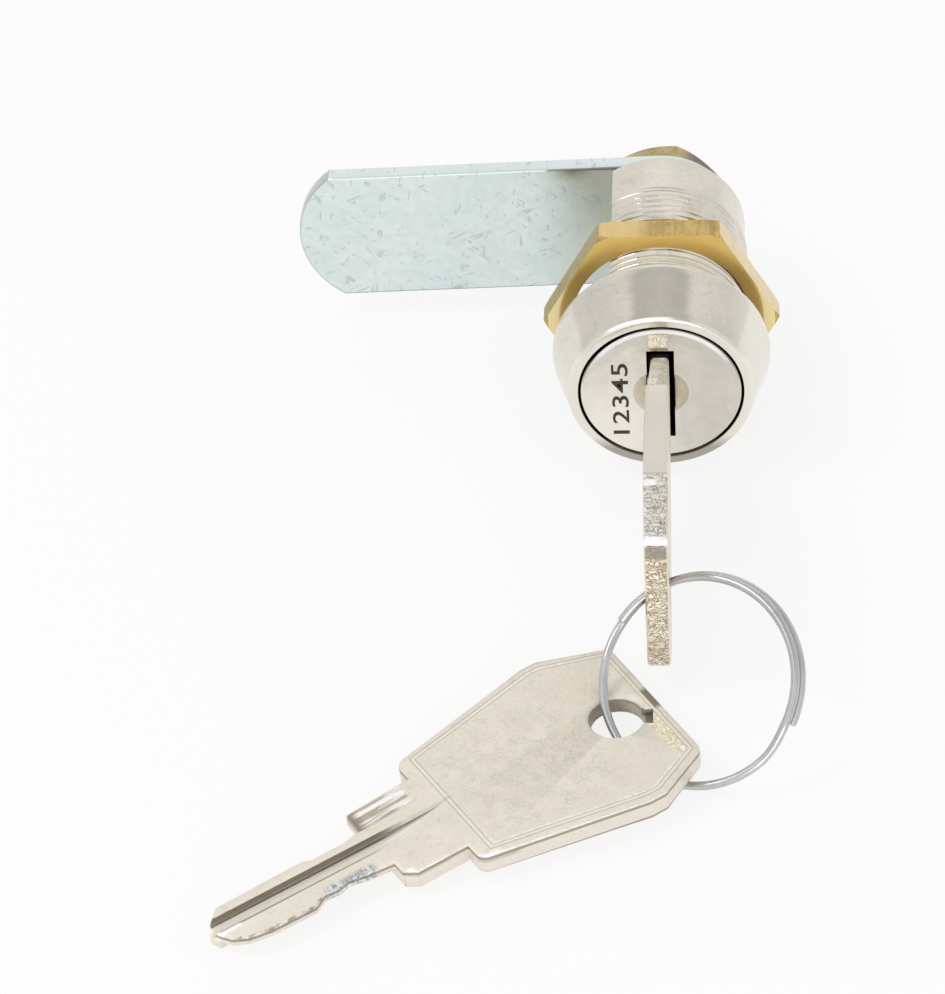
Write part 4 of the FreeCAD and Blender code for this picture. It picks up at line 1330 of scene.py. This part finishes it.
KEY_FINISH = KeyFinish(
    "worn nickel key in the lock", KEY_TONE, light(KEY_TONE, 0.94), 0.40, 0.48, metal=0.7,
    scratches=0.2, grain=0.8, grain_scale=2.2, edge_tone=(0.70, 0.655, 0.575),
    edge_grain=1.2, edge_roughness=0.30,
    tints=KEY_TINTS + (
        # The collar's torn top, in painted light
        Tint((1.0, 0.95, 0.83), (X(-27.4, -20.6, 0.1), FACING_Y(0.8, 1.1, 0.05)), 1.0, 0.45, torn=1.5,
             torn_tone=(0.74, 0.63, 0.46), metal=0.0),
        # The bow's upper slope, torn, with patches of painted highlight and a painted highlight line
        Tint((0.74, 0.71, 0.65), BOW_SLOPE, 0.95, 0.42, torn=3.0, torn_tone=(0.26, 0.23, 0.18),
             metal=0.6),
        Tint((1.0, 0.98, 0.93), BOW_SLOPE, 0.3, 0.3, broken=1.2, metal=0.6, break_lay=Lay.UPRIGHT,
             break_scale=1.8),
        Tint(GLINT, (X(-1.35, -0.75, 0.1), Z(-1.2, 0.1, 0.3), FACING_Y(0.7, 0.999, 0.02)), 0.95, 0.3,
             metal=0.0),
        # The bow's end, gold with dark tears, and a painted highlight on its upper corner
        Tint(GOLD_EDGE, (BOW_END,), 1.0, 0.38, torn=3.0, torn_tone=GOLD_SHADE, metal=0.0),
        Tint((0.50, 0.36, 0.20), (BOW_END,), 0.5, 0.35, broken=-1.6, break_lay=Lay.UPRIGHT,
             break_scale=1.6),
        Tint((0.30, 0.27, 0.23), (BOW_END, Y(6.4, 9.0, 0.6)), 0.8, 0.35),
        Tint((1.0, 1.0, 0.99), (X(2.0, 6.0), FACING_X(0.45, 0.93, 0.05), FACING_Y(0.2, 0.9, 0.05)), 1.0,
             0.3, metal=0.0),
    ),
    origin=(-1.4, -34.85, 0.0), along=(0.0, -1.0, 0.0), across=(0.0, 0.0, 1.0), up=(-1.0, 0.0, 0.0),
)
SPARE_FINISH = KeyFinish(
    "worn nickel spare key", KEY_TONE, light(KEY_TONE, 0.94), 0.60, 0.64, metal=0.45,
    scratches=0.2, grain=2.4, grain_scale=2.2, edge_tone=(0.82, 0.76, 0.66),
    edge_grain=1.6, edge_roughness=0.36,
    tints=(
        # Painted light over the middle of the bow's face
        Tint(light(KEY_TONE, 1.08), (ON_FACE, X(-9.0, -2.0, 4.0), Y(-2.0, 2.0, 4.0)), 0.8),
    ) + KEY_TINTS + (
        # The gold patch near the bow's end
        Tint((1.0, 0.93, 0.74), (X(1.8, 4.2, 0.6), Y(-9.4, -1.4, 1.0), INSET(1.15, 5.0, 0.1), ON_FACE),
             0.95, 0.4, torn=2.0, torn_tone=(0.72, 0.54, 0.31), metal=0.1),
        # Painted shade lines along both corners of the wall, and at the bow's outline
        Tint(PAINTED_WALL_SHADE, (Z(-0.60, -0.27, 0.06), WALL), 0.9),
        Tint(PAINTED_WALL_SHADE, (Z(-2.40, -2.06, 0.06), WALL), 0.9),
        Tint((0.36, 0.32, 0.26), (INSET(-0.3, 0.12, 0.08), Y(1.0, 12.0, 1.0), X(-18.0, 6.0, 1.0)), 0.7),
    ),
    origin=(-4.3702, -45.269, -8.6158), along=(0.820505, 0.571328, 0.018848),
    across=(-0.569186, 0.819591, -0.065566), up=(-0.052908, 0.043069, 0.99767),
)
NUMBER_DARK = MetalFinish(
    "stamped number", (0.09, 0.075, 0.06), (0.07, 0.055, 0.045), 0.45, 0.60, scratches=0.1,
)


@dataclass
class LockAssembly:
    """The lock itself: housing, door nut, plug with its wafers and springs, and cam."""

    wafers: int = 8
    first_wafer: float = -1.7
    wafer_pitch: float = 1.4

    def build(self, nodes: dict[str, bpy.types.Object]) -> None:
        """Make what the lock adds to its solids, and dress every piece.

        Args:
            nodes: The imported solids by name.
        """
        housing = ThreadedHousing().build()
        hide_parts("housing")
        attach(housing, "housing")
        dress(housing, NICKEL.material())
        LOG.info("housing: %d faces", len(housing.data.polygons))
        cam = CamPlate().build()
        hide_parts("cam")
        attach(cam, "plug")
        dress(cam, CAM_ZINC.material())
        LOG.info("cam plate: %d faces", len(cam.data.polygons))
        dress(nodes["plug"], PLUG_NICKEL.material())
        dress(nodes["panel_nut"], NUT_BRASS.material())
        washer = WASHER_STEEL.material()
        dress(nodes["stop_washer"], washer)
        dress(nodes["cam_lock_washer"], washer)
        dress(nodes["cam_nut"], REAR_BRASS.material())
        brass = WAFER_BRASS.material()
        steel = SPRING_STEEL.material()
        for number in range(1, self.wafers + 1):
            dress(nodes[f"wafer_{number}"], brass)
            spring = WaferSpring(number).build(self.first_wafer + self.wafer_pitch * (number - 1))
            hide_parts(f"wafer_spring_{number}")
            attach(spring, "plug")
            dress(spring, steel)
            LOG.info("wafer and spring %d", number)
        figures = FaceNumber().build()
        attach(figures, "plug")
        dress(figures, NUMBER_DARK.material())
        LOG.info("face number")


@dataclass
class KeySet:
    """The key in the lock, the spare key and the ring that joins them."""

    def build(self, nodes: dict[str, bpy.types.Object]) -> None:
        """Dress both keys and make the ring.

        Args:
            nodes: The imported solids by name.
        """
        for node, finish in (("key", KEY_FINISH), ("spare_key", SPARE_FINISH)):
            key = RoundedKey(node, finish.up).build(nodes[node])
            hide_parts(node)
            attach(key, node)
            dress(key, finish.material())
            LOG.info("%s: %d faces", node, len(key.data.polygons))
        ring = SplitRing().build()
        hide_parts("key_ring")
        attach(ring, "key_ring")
        dress(ring, RING_STEEL.material())
        LOG.info("keys and ring")


def main() -> None:
    """Build the view, the stage and the assemblies in order, and note the sizes."""
    logging.basicConfig(level=logging.INFO, format="%(name)s: %(message)s")
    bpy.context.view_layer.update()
    bpy.context.scene.view_settings.view_transform = "Standard"
    Viewpoint().build()
    Studio().build()
    for build_group in (
        build_cloud_group, build_scratch_group, build_grain_group, build_lines_group,
        build_span_group, build_chisel_group, build_inset_group,
    ):
        build_group()
    LockAssembly().build(frame["nodes"])
    KeySet().build(frame["nodes"])


if __name__ == "__main__":
    main()
